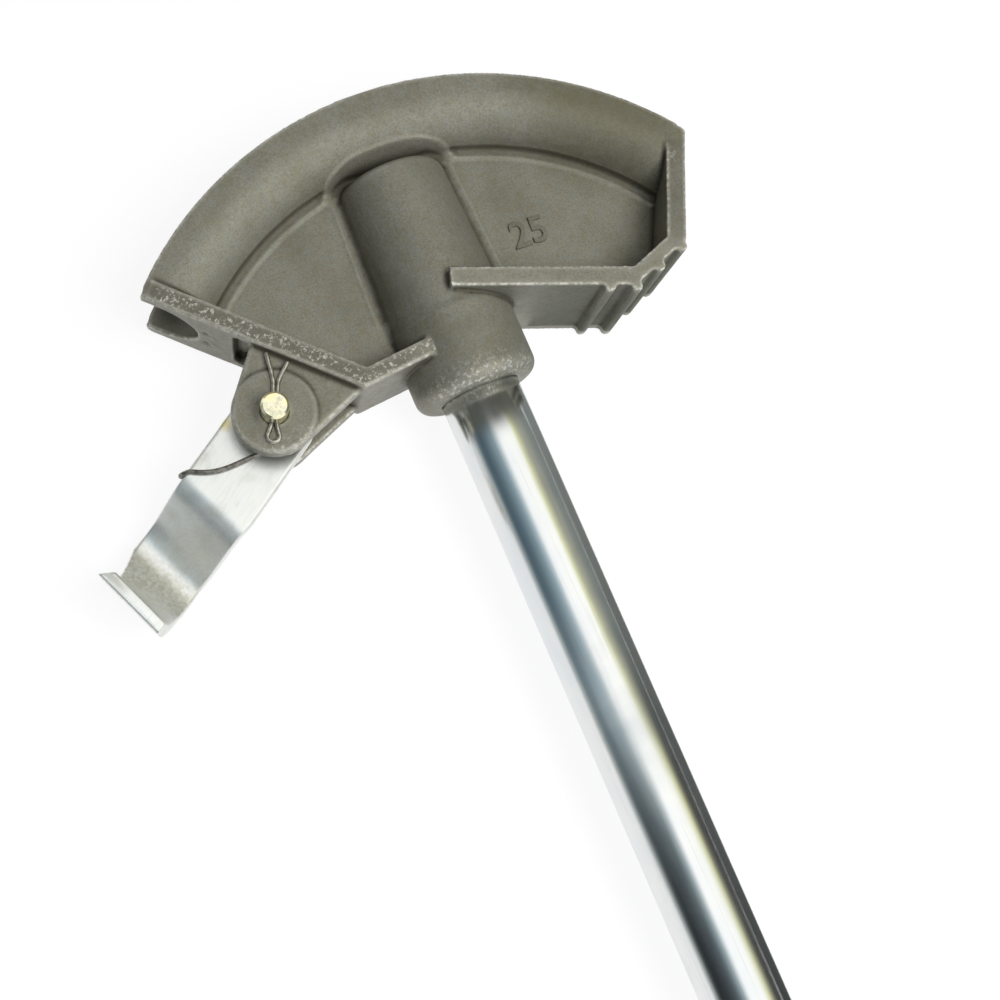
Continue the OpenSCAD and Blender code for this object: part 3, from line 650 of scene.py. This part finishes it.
def spring_half():
    """Middle line of the front half: fixed end in the pocket, coil round the pin, leg to the hook's edge."""
    fixed = (HOOK_FACE + FIXED_REACH * way(HOOK_WALL_ANGLE)
             + (POCKET_DEPTH - SPRING_R) * way(HOOK_WALL_ANGLE - 90))
    wrap = (PIN_AT + WRAP_REACH * way(HOOK_ANGLE)
            - (HOOK_W / 2 + SPRING_R + SLIT) * way(HOOK_ANGLE + 90))
    high_z = EAR_IN_Z - SLIT - SPRING_R
    low_z = HOOK_T / 2 + SLIT + SPRING_R
    coil_in = touching(fixed, COIL_R, 1)
    coil_out = touching(wrap, COIL_R, -1)
    start = math.degrees(math.atan2(*(coil_in - PIN_AT)[::-1]))
    end = math.degrees(math.atan2(*(coil_out - PIN_AT)[::-1]))
    sweep = start - end + 360 * COIL_TURNS
    turned = np.linspace(0, sweep, COIL_POINTS)
    circle = PIN_AT + COIL_R * np.array([way(start - a) for a in turned])
    coil = np.hstack([circle, (high_z + (low_z - high_z) * turned / sweep)[:, None]])
    entry = np.linspace(0, 1, FIXED_LEG_POINTS)[:-1, None]
    fixed_leg = at_z(fixed, high_z) + entry * (coil[0] - at_z(fixed, high_z))
    leg_way = (wrap - coil_out) / np.linalg.norm(wrap - coil_out)
    # The bend round the hook's edge is a quarter circle as far as the middle plane
    bend_r = low_z
    bend_start = at_z(wrap - bend_r * leg_way, low_z)
    share = np.linspace(0, 1, MOVING_LEG_POINTS)[1:-1, None]
    bow = LEG_BOW * np.sin(math.pi * share**BOW_POWER) * at_z(np.array([leg_way[1], -leg_way[0]]), 0)
    leg = coil[-1] + share * (bend_start - coil[-1]) + np.sign(leg_way[0]) * bow
    bend = np.array([at_z(wrap - bend_r * (1 - math.sin(a)) * leg_way, low_z - bend_r * (1 - math.cos(a)))
                     for a in np.radians(np.linspace(0, 90, WRAP_POINTS))])
    return np.vstack([fixed_leg, coil, leg, bend])


def torsion_spring():
    """One spring wire, drawn as a front and a back half that meet at the hook's edge."""
    front = spring_half()
    halves = []
    for name, side in (("spring_front", 1), ("spring_back", -1)):
        path = front * np.array([1, 1, side])
        piece = wire(name, path, SPRING_R)
        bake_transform(piece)
        halves.append(piece)
    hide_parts("torsion_spring")
    return halves


# Nodes and materials

def srgb(code):
    """Linear colour from an sRGB hex code."""
    parts = [int(code[i:i + 2], 16) / 255 for i in (1, 3, 5)]
    return [p / 12.92 if p <= 0.04045 else ((p + 0.055) / 1.055) ** 2.4 for p in parts] + [1]


def put(tree, value, entry):
    """Gives an input its value: a node's first output in use, an output, an sRGB code or a number."""
    if isinstance(value, bpy.types.Node):
        value = next(output for output in value.outputs if output.enabled)
    if isinstance(value, bpy.types.NodeSocket):
        tree.links.new(value, entry)
    else:
        entry.default_value = srgb(value) if isinstance(value, str) else value


def add(tree, kind, *values, stops=(), **settings):
    """A node of that kind. A setting goes to the input of that name or to the node itself.

    After them the values go to the node's inputs in use, in order, and the stops, as (position, sRGB code),
    to a colour ramp.
    """
    node = tree.nodes.new("ShaderNode" + kind)
    for key, value in settings.items():
        name = key.replace("_", " ").title()
        if name in node.inputs:
            put(tree, value, node.inputs[name])
        else:
            setattr(node, key, value)
    for value, entry in zip(values, [entry for entry in node.inputs if entry.enabled]):
        put(tree, value, entry)
    if stops:
        elements = node.color_ramp.elements
        while len(elements) < len(stops):
            elements.new(0.5)
        for element, (position, code) in zip(elements, stops):
            element.position = position
            element.color = srgb(code)
    return node


def hypotenuse(tree, a, b):
    """The square root of the sum of both squares."""
    squares = [add(tree, "Math", side, side, operation="MULTIPLY") for side in (a, b)]
    return add(tree, "Math", add(tree, "Math", *squares, operation="ADD"), operation="SQRT")


def from_point(tree, x, y, point):
    """Distance in the XY plane from a point given in millimetres."""
    return hypotenuse(tree, add(tree, "Math", x, point[0] * MM, operation="SUBTRACT"),
                      add(tree, "Math", y, point[1] * MM, operation="SUBTRACT"))


def new_material(name):
    """Material with a Principled shader, its tree and its Object coordinates."""
    material = bpy.data.materials.new(name)
    material.use_nodes = True
    tree = material.node_tree
    return material, tree, add(tree, "TexCoord").outputs["Object"]


def finished(material, colour, metallic, roughness, normal):
    """The material with these on its Principled shader."""
    shader = material.node_tree.nodes["Principled BSDF"]
    for name, value in (("Base Color", colour), ("Metallic", metallic), ("Roughness", roughness),
                        ("Normal", normal)):
        put(material.node_tree, value, shader.inputs[name])
    return material


def paint(piece, material):
    """Gives the piece that one material."""
    piece.data.materials.clear()
    piece.data.materials.append(material)


# Sizes of the casting's patterns. Grit is a little coarser than moulding sand, so that it shows
GRIT = 0.7
NICK = 1.3
BROKEN_EDGE = 1.6
SPOT = 2.2
PIT = 2.6
CAST_CLOUD = 24
# Grime and painted shade in the groove reach from its wall to this far outside it, and painted shade at the
# toe's end this far from a point
GROOVE_GRIME_AND_SHADE_REACH = (0.9, 0.1)
TOE_SHADE_AT = (85, 104)
TOE_SHADE_REACH = (56, 34)
TOE_SHADE_BROKEN = 24
# The walls' outer faces lie between these heights, each with a soft border
FACE_FROM = (16.8, 17.4)
FACE_TO = (18.3, 18.1)
# How level a wall's face is, and how level the strap's flat
FACE_LEVEL = (0.97, 0.995)
FLAT_LEVEL = (0.99, 0.93)
SHADED_SIDE_X = (-14, -22)
MOUTH_Y = (29, 21)
MOUTH_Z = (6, 14)


def sand_cast_aluminium():
    """Sand-cast aluminium, as cast: a dull olive-grey skin with grit and rubbed edges, painted shade in
    corners and on some faces, and a painted highlight on crests.
    """
    material, tree, place = new_material("sand_cast_aluminium")
    turn = add(tree, "Attribute", attribute_name="edge_turn").outputs["Fac"]
    level = add(tree, "Attribute", attribute_name="facing").outputs["Fac"]
    x, y, z = add(tree, "SeparateXYZ", place).outputs
    grit = add(tree, "TexNoise", place, scale=1 / (GRIT * MM), detail=5.0, roughness=0.75)
    spots = add(tree, "TexNoise", place, scale=1 / (SPOT * MM), detail=4.0, roughness=0.7)
    pits = add(tree, "TexNoise", place, scale=1 / (PIT * MM), detail=5.0, roughness=0.55)
    cloud = add(tree, "TexNoise", place, scale=1 / (CAST_CLOUD * MM), detail=4.0, roughness=0.55)
    nicks = add(tree, "TexNoise", place, scale=1 / (NICK * MM), detail=5.0, roughness=0.75)
    breaks = add(tree, "TexNoise", place, scale=1 / (BROKEN_EDGE * MM), detail=5.0, roughness=0.7)
    # Cast skin in three greys, with brown spots and bluish ones
    skin = add(tree, "ValToRGB", cloud, stops=[(0.3, "#848271"), (0.5, "#8F8D80"), (0.7, "#7E7B6B")])
    brown = add(tree, "MapRange", spots, 0.5, 0.68, 0.0, 0.4)
    blue = add(tree, "MapRange", spots, 0.5, 0.34, 0.0, 0.4)
    skin = add(tree, "Mix", brown, skin, "#7F745A", data_type="RGBA")
    skin = add(tree, "Mix", blue, skin, "#858B8C", data_type="RGBA")
    # Painted shade makes the rim browner and darker at the toe's end, and grime and painted shade darken the
    # groove
    broken = add(tree, "Math", pits, TOE_SHADE_BROKEN * MM, operation="MULTIPLY")
    from_toe = add(tree, "Math", from_point(tree, x, y, TOE_SHADE_AT), broken, operation="ADD")
    toe_shade = add(tree, "MapRange", from_toe, TOE_SHADE_REACH[0] * MM, TOE_SHADE_REACH[1] * MM, 0.0, 0.7)
    shaded_skin = add(tree, "Mix", toe_shade, skin, "#68634C", data_type="RGBA")
    from_bend = add(tree, "Math", hypotenuse(tree, x, y), BEND_R * MM, operation="SUBTRACT")
    groove_grime_and_shade = add(tree, "MapRange", hypotenuse(tree, from_bend, z), (GROOVE_R + GROOVE_GRIME_AND_SHADE_REACH[0]) * MM,
                    (GROOVE_R + GROOVE_GRIME_AND_SHADE_REACH[1]) * MM, 0.0, 0.45)
    shaded_skin = add(tree, "Mix", groove_grime_and_shade, shaded_skin, "#3B382F", data_type="RGBA")
    # Painted shade makes the walls' outer faces darker on the hook's side
    height = add(tree, "Math", z, operation="ABSOLUTE")
    above = add(tree, "MapRange", height, FACE_FROM[0] * MM, FACE_FROM[1] * MM)
    below = add(tree, "MapRange", height, FACE_TO[0] * MM, FACE_TO[1] * MM)
    face = add(tree, "Math", below, add(tree, "MapRange", level, *FACE_LEVEL), operation="MULTIPLY")
    face = add(tree, "Math", above, face, operation="MULTIPLY")
    hook_side = add(tree, "MapRange", x, SHADED_SIDE_X[0] * MM, SHADED_SIDE_X[1] * MM, 0.0, 0.55)
    shaded_side = add(tree, "Math", face, hook_side, operation="MULTIPLY")
    shaded_skin = add(tree, "Mix", shaded_side, shaded_skin, "#5A564A", data_type="RGBA")
    speck = add(tree, "Mix", add(tree, "MapRange", grit, 0.4, 0.7, 0.0, 0.6), shaded_skin, "#5C594E",
                data_type="RGBA")
    # Painted highlight makes crests paler, and painted shade makes corners dark
    crest_highlight = add(tree, "Mix", add(tree, "MapRange", turn, 0.06, 0.3, 0.0, 0.3), speck, "#B9B6A8",
                data_type="RGBA")
    dark = add(tree, "Mix", add(tree, "MapRange", turn, -0.03, -0.35, 0.0, 0.8), crest_highlight, "#3A3528",
               data_type="RGBA")
    # The walls' outer faces and the collar's mouth rub on whatever the tool is laid on
    mouth = add(tree, "Math", add(tree, "MapRange", y, MOUTH_Y[0] * MM, MOUTH_Y[1] * MM),
                add(tree, "MapRange", height, MOUTH_Z[0] * MM, MOUTH_Z[1] * MM), operation="MULTIPLY")
    rubbed = add(tree, "Math", add(tree, "Math", face, mouth, operation="MAXIMUM"),
                 add(tree, "MapRange", nicks, 0.53, 0.61, 0.0, 0.7), operation="MULTIPLY")
    edge = add(tree, "Math", add(tree, "MapRange", turn, 0.2, 0.65),
               add(tree, "MapRange", breaks, 0.42, 0.62), operation="MULTIPLY")
    bare = add(tree, "Math", edge, rubbed, operation="MAXIMUM")
    colour = add(tree, "Mix", add(tree, "Math", bare, 0.85, operation="MULTIPLY"), dark, "#E2DFD6",
                 data_type="RGBA")
    dull = add(tree, "Math", add(tree, "MapRange", pits, 0.3, 0.7, 0.42, 0.54),
               add(tree, "Math", bare, 0.2, operation="MULTIPLY"), operation="SUBTRACT")
    pitted = add(tree, "Bump", strength=0.7, distance=0.16 * MM, height=pits)
    gritty = add(tree, "Bump", strength=0.8, distance=0.12 * MM, height=grit, normal=pitted)
    return finished(material, colour, 0.52, dull, gritty)


# Draw lines and streaks run along the pipe, this many times longer than they are wide
DRAW_LINE = 0.7
DRAW_LINE_LENGTH = 60
STREAK = 6
STREAK_LENGTH = 12
TUBE_CLOUD = 30


def bright_zinc_tube():
    """Drawn steel pipe, bright zinc plated: a clear sheen broken by fine draw lines, streaks and rubs."""
    material, tree, place = new_material("bright_zinc_tube")
    fine = add(tree, "Mapping", place, scale=(1, 1 / DRAW_LINE_LENGTH, 1))
    lines = add(tree, "TexNoise", fine, scale=1 / (DRAW_LINE * MM), detail=4.0, roughness=0.6)
    coarse = add(tree, "Mapping", place, scale=(1, 1 / STREAK_LENGTH, 1))
    streaks = add(tree, "TexNoise", coarse, scale=1 / (STREAK * MM), detail=3.0, roughness=0.55)
    cloud = add(tree, "TexNoise", place, scale=1 / (TUBE_CLOUD * MM), detail=3.0, roughness=0.55)
    zinc = add(tree, "ValToRGB", cloud, stops=[(0.3, "#DDE1E4"), (0.55, "#E6E7E6"), (0.75, "#D6D9DA")])
    rubbed = add(tree, "MapRange", lines, 0.56, 0.74, 0.0, 0.25)
    colour = add(tree, "Mix", rubbed, zinc, "#AEB3B6", data_type="RGBA")
    dull = add(tree, "MapRange", streaks, 0.3, 0.72, 0.13, 0.24)
    drawn = add(tree, "Bump", strength=0.35, distance=0.01 * MM, height=lines)
    return finished(material, colour, 1.0, dull, drawn)


STRAP_LINE = 0.5
STRAP_LINE_LENGTH = 14
STRAP_CLOUD = 9
REFLECTION_PATCH = 1.2
# Painted reflection lies in the cradle from the first to the last of these, by distance from the pin
REFLECTION_FROM = (50, 60)
REFLECTION_TO = (69, 66)
REFLECTION_SPOT_AT = (-81, 40)
REFLECTION_SPOT_REACH = (3.2, 1)


def zinc_strap():
    """Bent steel strap, zinc plated: a soft bright finish with fine lines along it, and painted brownish and
    yellow reflections.
    """
    material, tree, place = new_material("zinc_plated_strap")
    turned = add(tree, "Mapping", place, rotation=(0, 0, math.radians(-HOOK_ANGLE)))
    drawn = add(tree, "Mapping", turned, scale=(1 / STRAP_LINE_LENGTH, 1, 1))
    lines = add(tree, "TexNoise", drawn, scale=1 / (STRAP_LINE * MM), detail=4.0, roughness=0.6)
    cloud = add(tree, "TexNoise", place, scale=1 / (STRAP_CLOUD * MM), detail=4.0, roughness=0.55)
    rubs = add(tree, "TexNoise", place, scale=1 / (REFLECTION_PATCH * MM), detail=5.0, roughness=0.55)
    zinc = add(tree, "ValToRGB", cloud, stops=[(0.32, "#EFF0EC"), (0.5, "#F6F7F5"), (0.7, "#E9EAE3")])
    # Painted reflections: brownish patches in the cradle, and a yellow spot beside the boss
    along = add(tree, "SeparateXYZ", turned).outputs["X"]
    pin_along = PIN_AT @ way(HOOK_ANGLE)
    start = add(tree, "MapRange", along, (pin_along + REFLECTION_FROM[0]) * MM, (pin_along + REFLECTION_FROM[1]) * MM)
    stop = add(tree, "MapRange", along, (pin_along + REFLECTION_TO[0]) * MM, (pin_along + REFLECTION_TO[1]) * MM)
    in_cradle = add(tree, "Math", start, stop, operation="MULTIPLY")
    # The patches in the cradle are painted reflection
    rubbed = add(tree, "Math", in_cradle, add(tree, "MapRange", rubs, 0.35, 0.7, 0.0, 0.5),
                 operation="MULTIPLY")
    x, y, _ = add(tree, "SeparateXYZ", place).outputs
    reflection_spot = add(tree, "MapRange", from_point(tree, x, y, REFLECTION_SPOT_AT), REFLECTION_SPOT_REACH[0] * MM,
                REFLECTION_SPOT_REACH[1] * MM, 0.0, 0.6)
    painted_reflections = add(tree, "Mix", rubbed, zinc, "#B5AC8C", data_type="RGBA")
    painted_reflections = add(tree, "Mix", reflection_spot, painted_reflections, "#D9C766", data_type="RGBA")
    scored = add(tree, "MapRange", lines, 0.5, 0.72, 0.0, 0.25)
    colour = add(tree, "Mix", scored, painted_reflections, "#B6BAB7", data_type="RGBA")
    # Bending has left the plating duller in the bends than on the flat, which faces up
    level = add(tree, "Attribute", attribute_name="facing").outputs["Fac"]
    dull = add(tree, "Math", add(tree, "MapRange", cloud, 0.3, 0.7, 0.28, 0.38),
               add(tree, "MapRange", level, *FLAT_LEVEL, 0.0, 0.2), operation="ADD")
    lined = add(tree, "Bump", strength=0.5, distance=0.015 * MM, height=lines)
    return finished(material, colour, 1.0, dull, lined)


TURNING_STEP = 0.35
PIN_CLOUD = 3.0


def turned_steel_pin():
    """Cut end of a bright steel pin: turning rings round its axis, rubbed, and a cream tint that is a painted
    reflection.
    """
    material, tree, place = new_material("turned_steel_pin")
    centred = add(tree, "Mapping", place, location=tuple(-at_z(PIN_AT, 0) * MM))
    x, y, _ = add(tree, "SeparateXYZ", centred).outputs
    waves = add(tree, "Math", hypotenuse(tree, x, y), 2 * math.pi / (TURNING_STEP * MM),
                operation="MULTIPLY")
    rings = add(tree, "Math", waves, operation="SINE")
    cloud = add(tree, "TexNoise", place, scale=1 / (PIN_CLOUD * MM), detail=4.0, roughness=0.55)
    # The cream tint is a painted reflection
    colour = add(tree, "ValToRGB", cloud, stops=[(0.35, "#FFF7C2"), (0.52, "#FCF8DA"), (0.68, "#DEDCC2")])
    dull = add(tree, "MapRange", cloud, 0.3, 0.7, 0.16, 0.3)
    turned = add(tree, "Bump", strength=0.5, distance=0.006 * MM, height=rings)
    return finished(material, colour, 1.0, dull, turned)


WIRE_STAIN = 1.4
WIRE_LINE = 0.35
STAIN_DULLER = 0.15


def drawn_wire(name, light, dark, roughness):
    """Drawn steel wire: a grey skin with fine lines and stains."""
    material, tree, place = new_material(name)
    stains = add(tree, "TexNoise", place, scale=1 / (WIRE_STAIN * MM), detail=4.0, roughness=0.55)
    lines = add(tree, "TexNoise", place, scale=1 / (WIRE_LINE * MM), detail=3.0, roughness=0.55)
    colour = add(tree, "ValToRGB", stains, stops=[(0.35, light), (0.65, dark)])
    dull = add(tree, "MapRange", stains, 0.3, 0.7, roughness, roughness + STAIN_DULLER)
    drawn = add(tree, "Bump", strength=0.4, distance=0.01 * MM, height=lines)
    return finished(material, colour, 1.0, dull, drawn)


# Stage, lights and camera

CAMERA_AT = (-115.58, -71.61, 476.8)
CAMERA_TURN = (11.067, -9.043, -23.6465)
CAMERA_SEES = (0.01, 20)
FOCAL_PIXELS = 1507.4
PICTURE_PIXELS = 1000
SENSOR_MM = 36
FLOOR_GAP = 0.3
FLOOR_SIZE = 6000
# The floor's height is set at this y, where the pedal is, and its slope by the tube's free end
PEDAL_Y = 36
# The floor glows by this share where it is looked at, so that it looks as white as the photograph's
FLOOR_GLOW = 0.82
TENT_R = 2200
TENT_END_Y = 2500
TENT_HALF = 96
TENT_ROWS = 49
# The tent's colours run from this angle left of straight up to the same angle right of it
TENT_COLOURS_HALF = 100
BOARD_X = (30, 900)
BOARD_Y = (140, -900)
BOARD_Z = -20


def stage_material(name):
    """Material with an empty tree, and the tree."""
    material = bpy.data.materials.new(name)
    material.use_nodes = True
    material.node_tree.nodes.clear()
    return material, material.node_tree


def looked_at(tree):
    """1 for the camera, for reflections and for what is seen through a thing, 0 for scattered light."""
    rays = add(tree, "LightPath").outputs
    indirect = add(tree, "Math", rays["Is Glossy Ray"], rays["Is Transmission Ray"], operation="MAXIMUM")
    return add(tree, "Math", rays["Is Camera Ray"], indirect, operation="MAXIMUM")


def only_reflected(piece):
    """Hides the piece from everything but reflections."""
    piece.visible_camera = False
    piece.visible_diffuse = False
    piece.visible_shadow = False


def pale_floor():
    """Large plane that the pedal's edge and the tube's free end rest on."""
    head_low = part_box("bending_head")[0]
    tube_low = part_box("handle_tube")[0]
    slope = (tube_low[2] - head_low[2]) / (PEDAL_Y * MM - tube_low[1])
    half = FLOOR_SIZE / 2
    corners = [(-half, -half, 0), (half, -half, 0), (half, half, 0), (-half, half, 0)]
    piece = mesh_object("pale_floor", corners, [[0, 1, 2, 3]])
    piece.data.transform(Matrix.Translation((0, PEDAL_Y * MM, head_low[2] - FLOOR_GAP * MM))
                         @ Matrix.Rotation(-math.atan(slope), 4, "X"))
    material, tree = stage_material("pale_floor")
    share = add(tree, "Math", looked_at(tree), FLOOR_GLOW, operation="MULTIPLY")
    matt = add(tree, "BsdfDiffuse", "#B4B4B4")
    glow = add(tree, "Emission", "#FFFFFF", strength=1.12)
    add(tree, "OutputMaterial", add(tree, "MixShader", share, matt, glow))
    paint(piece, material)


def room_tent():
    """Half drum over the tool that only reflections see: a pale window overhead, with grey room beside it."""
    rows = np.radians(np.linspace(-TENT_HALF, TENT_HALF, TENT_ROWS))
    points = [(TENT_R * math.sin(a), y, TENT_R * math.cos(a))
              for a in rows for y in (-TENT_END_Y, TENT_END_Y)]
    faces = [[2 * i, 2 * i + 1, 2 * i + 3, 2 * i + 2] for i in range(len(rows) - 1)]
    piece = mesh_object("room_tent", points, faces)
    only_reflected(piece)
    material, tree = stage_material("room_tent")
    x, run, z = add(tree, "SeparateXYZ", add(tree, "TexCoord").outputs["Object"]).outputs
    angle = add(tree, "Math", x, z, operation="ARCTAN2")
    share = add(tree, "MapRange", angle, math.radians(-TENT_COLOURS_HALF), math.radians(TENT_COLOURS_HALF))
    near = add(tree, "ValToRGB", share, stops=[
        (0.0, "#A9B0AE"), (0.08, "#A3ABAA"), (0.11, "#5A6970"), (0.16, "#445560"), (0.24, "#5A6B74"),
        (0.33, "#7E929B"), (0.38, "#A5B7BD"), (0.43, "#FFFFFF"), (0.63, "#FFFFFA"), (0.66, "#DADAA6"),
        (0.72, "#A2A292"), (0.86, "#7E8480"), (1.0, "#6E7473")])
    middle = add(tree, "ValToRGB", share, stops=[
        (0.0, "#A9B0AE"), (0.08, "#A3ABAA"), (0.11, "#8F9BA0"), (0.16, "#87979D"), (0.24, "#A4B2B8"),
        (0.33, "#BCCBD0"), (0.38, "#D6E0E2"), (0.42, "#FFFFFF"), (0.66, "#FFFFFA"), (0.69, "#DADAA6"),
        (0.75, "#8A8A7C"), (0.84, "#5A5E5C"), (1.0, "#545857")])
    far = add(tree, "ValToRGB", share, stops=[
        (0.0, "#A9B0AE"), (0.08, "#9BA2A0"), (0.11, "#454949"), (0.16, "#242627"), (0.24, "#2C2F31"),
        (0.33, "#454B4F"), (0.38, "#5E6A6E"), (0.44, "#96A4A8"), (0.51, "#FFFFFF"), (0.70, "#FFFFFA"),
        (0.76, "#DCDCB0"), (0.81, "#85836F"), (0.86, "#444443"), (1.0, "#363635")])
    # Each set of colours gives way to the next between two places along the drum, in metres
    colours = near
    for first, last, following in ((-0.02, -0.16, middle), (-0.17, -0.36, far), (0.6, 1.05, "#50504A")):
        place = add(tree, "MapRange", run, first, last)
        colours = add(tree, "Mix", place, colours, following, data_type="RGBA")
    add(tree, "OutputMaterial", add(tree, "Emission", colours, strength=1.25))
    paint(piece, material)


def dark_board():
    """Grey sheet just over the floor on the tube's right, which only reflections see."""
    corners = [(BOARD_X[0], BOARD_Y[0]), (BOARD_X[1], BOARD_Y[0]), (BOARD_X[1], BOARD_Y[1]),
               (BOARD_X[0], BOARD_Y[1])]
    piece = mesh_object("dark_board", [(x, y, BOARD_Z) for x, y in corners], [[0, 1, 2, 3]])
    only_reflected(piece)
    material, tree = stage_material("dark_board")
    _, run, _ = add(tree, "SeparateXYZ", add(tree, "TexCoord").outputs["Object"]).outputs
    # Lighter beside the head and darker towards the tube's free end
    shade = add(tree, "ValToRGB", add(tree, "MapRange", run, 0.02, -0.45), stops=[
        (0.0, "#868B88"), (0.3, "#5E615F"), (0.6, "#3C3E3D"), (1.0, "#2C2D2C")])
    add(tree, "OutputMaterial", add(tree, "Emission", shade, strength=1.0))
    paint(piece, material)


def area_light(name, at, toward, size, power, colour="#FFFFFF"):
    """Rectangular lamp that no reflection shows."""
    lamp = bpy.data.lights.new(name, "AREA")
    lamp.shape = "RECTANGLE"
    lamp.size, lamp.size_y = size[0] * MM, size[1] * MM
    lamp.energy = power
    lamp.color = srgb(colour)[:3]
    made = show(bpy.data.objects.new(name, lamp))
    made.location = Vector(at) * MM
    made.rotation_euler = (Vector(toward) - Vector(at)).to_track_quat("-Z", "Y").to_euler()
    made.visible_glossy = False


def studio():
    """Soft window overhead, a faint cool fill from the handle's side, and a plain dim world."""
    area_light("window", at=(420, -450, 1300), toward=(0, 40, 0), size=(700, 700), power=25)
    area_light("low_fill", at=(900, -1250, 250), toward=(0, 0, 0), size=(900, 500), power=14,
               colour="#DCE8F4")
    world = bpy.data.worlds.new("plain_room")
    bpy.context.scene.world = world
    world.use_nodes = True
    tree = world.node_tree
    tree.nodes.clear()
    colour = add(tree, "Mix", looked_at(tree), "#6E7276", "#FFFFFF", data_type="RGBA")
    add(tree, "OutputWorld", add(tree, "Background", colour, strength=1.0))


def camera():
    """The photograph's camera, about 0.5 m above the tool."""
    lens = bpy.data.cameras.new("camera")
    lens.sensor_width = SENSOR_MM
    lens.lens = FOCAL_PIXELS / PICTURE_PIXELS * SENSOR_MM
    lens.clip_start, lens.clip_end = CAMERA_SEES
    made = show(bpy.data.objects.new("camera", lens))
    made.location = Vector(CAMERA_AT) * MM
    made.rotation_euler = [math.radians(a) for a in CAMERA_TURN]
    bpy.context.scene.camera = made


camera()
studio()
pale_floor()
room_tent()
dark_board()

cast = sand_cast_aluminium()
paint(cast_head(), cast)
paint(size_mark(), cast)
paint(handle_tube(), bright_zinc_tube())
paint(swinging_hook(), zinc_strap())
paint(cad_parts["hook_pin"], turned_steel_pin())
paint(split_pin(), drawn_wire("split_pin_steel", "#DAD7CC", "#A19D92", 0.25))
spring_steel = drawn_wire("oiled_spring_steel", "#96938B", "#65635C", 0.3)
for half_spring in torsion_spring():
    paint(half_spring, spring_steel)

bpy.context.scene.view_settings.view_transform = "Standard"
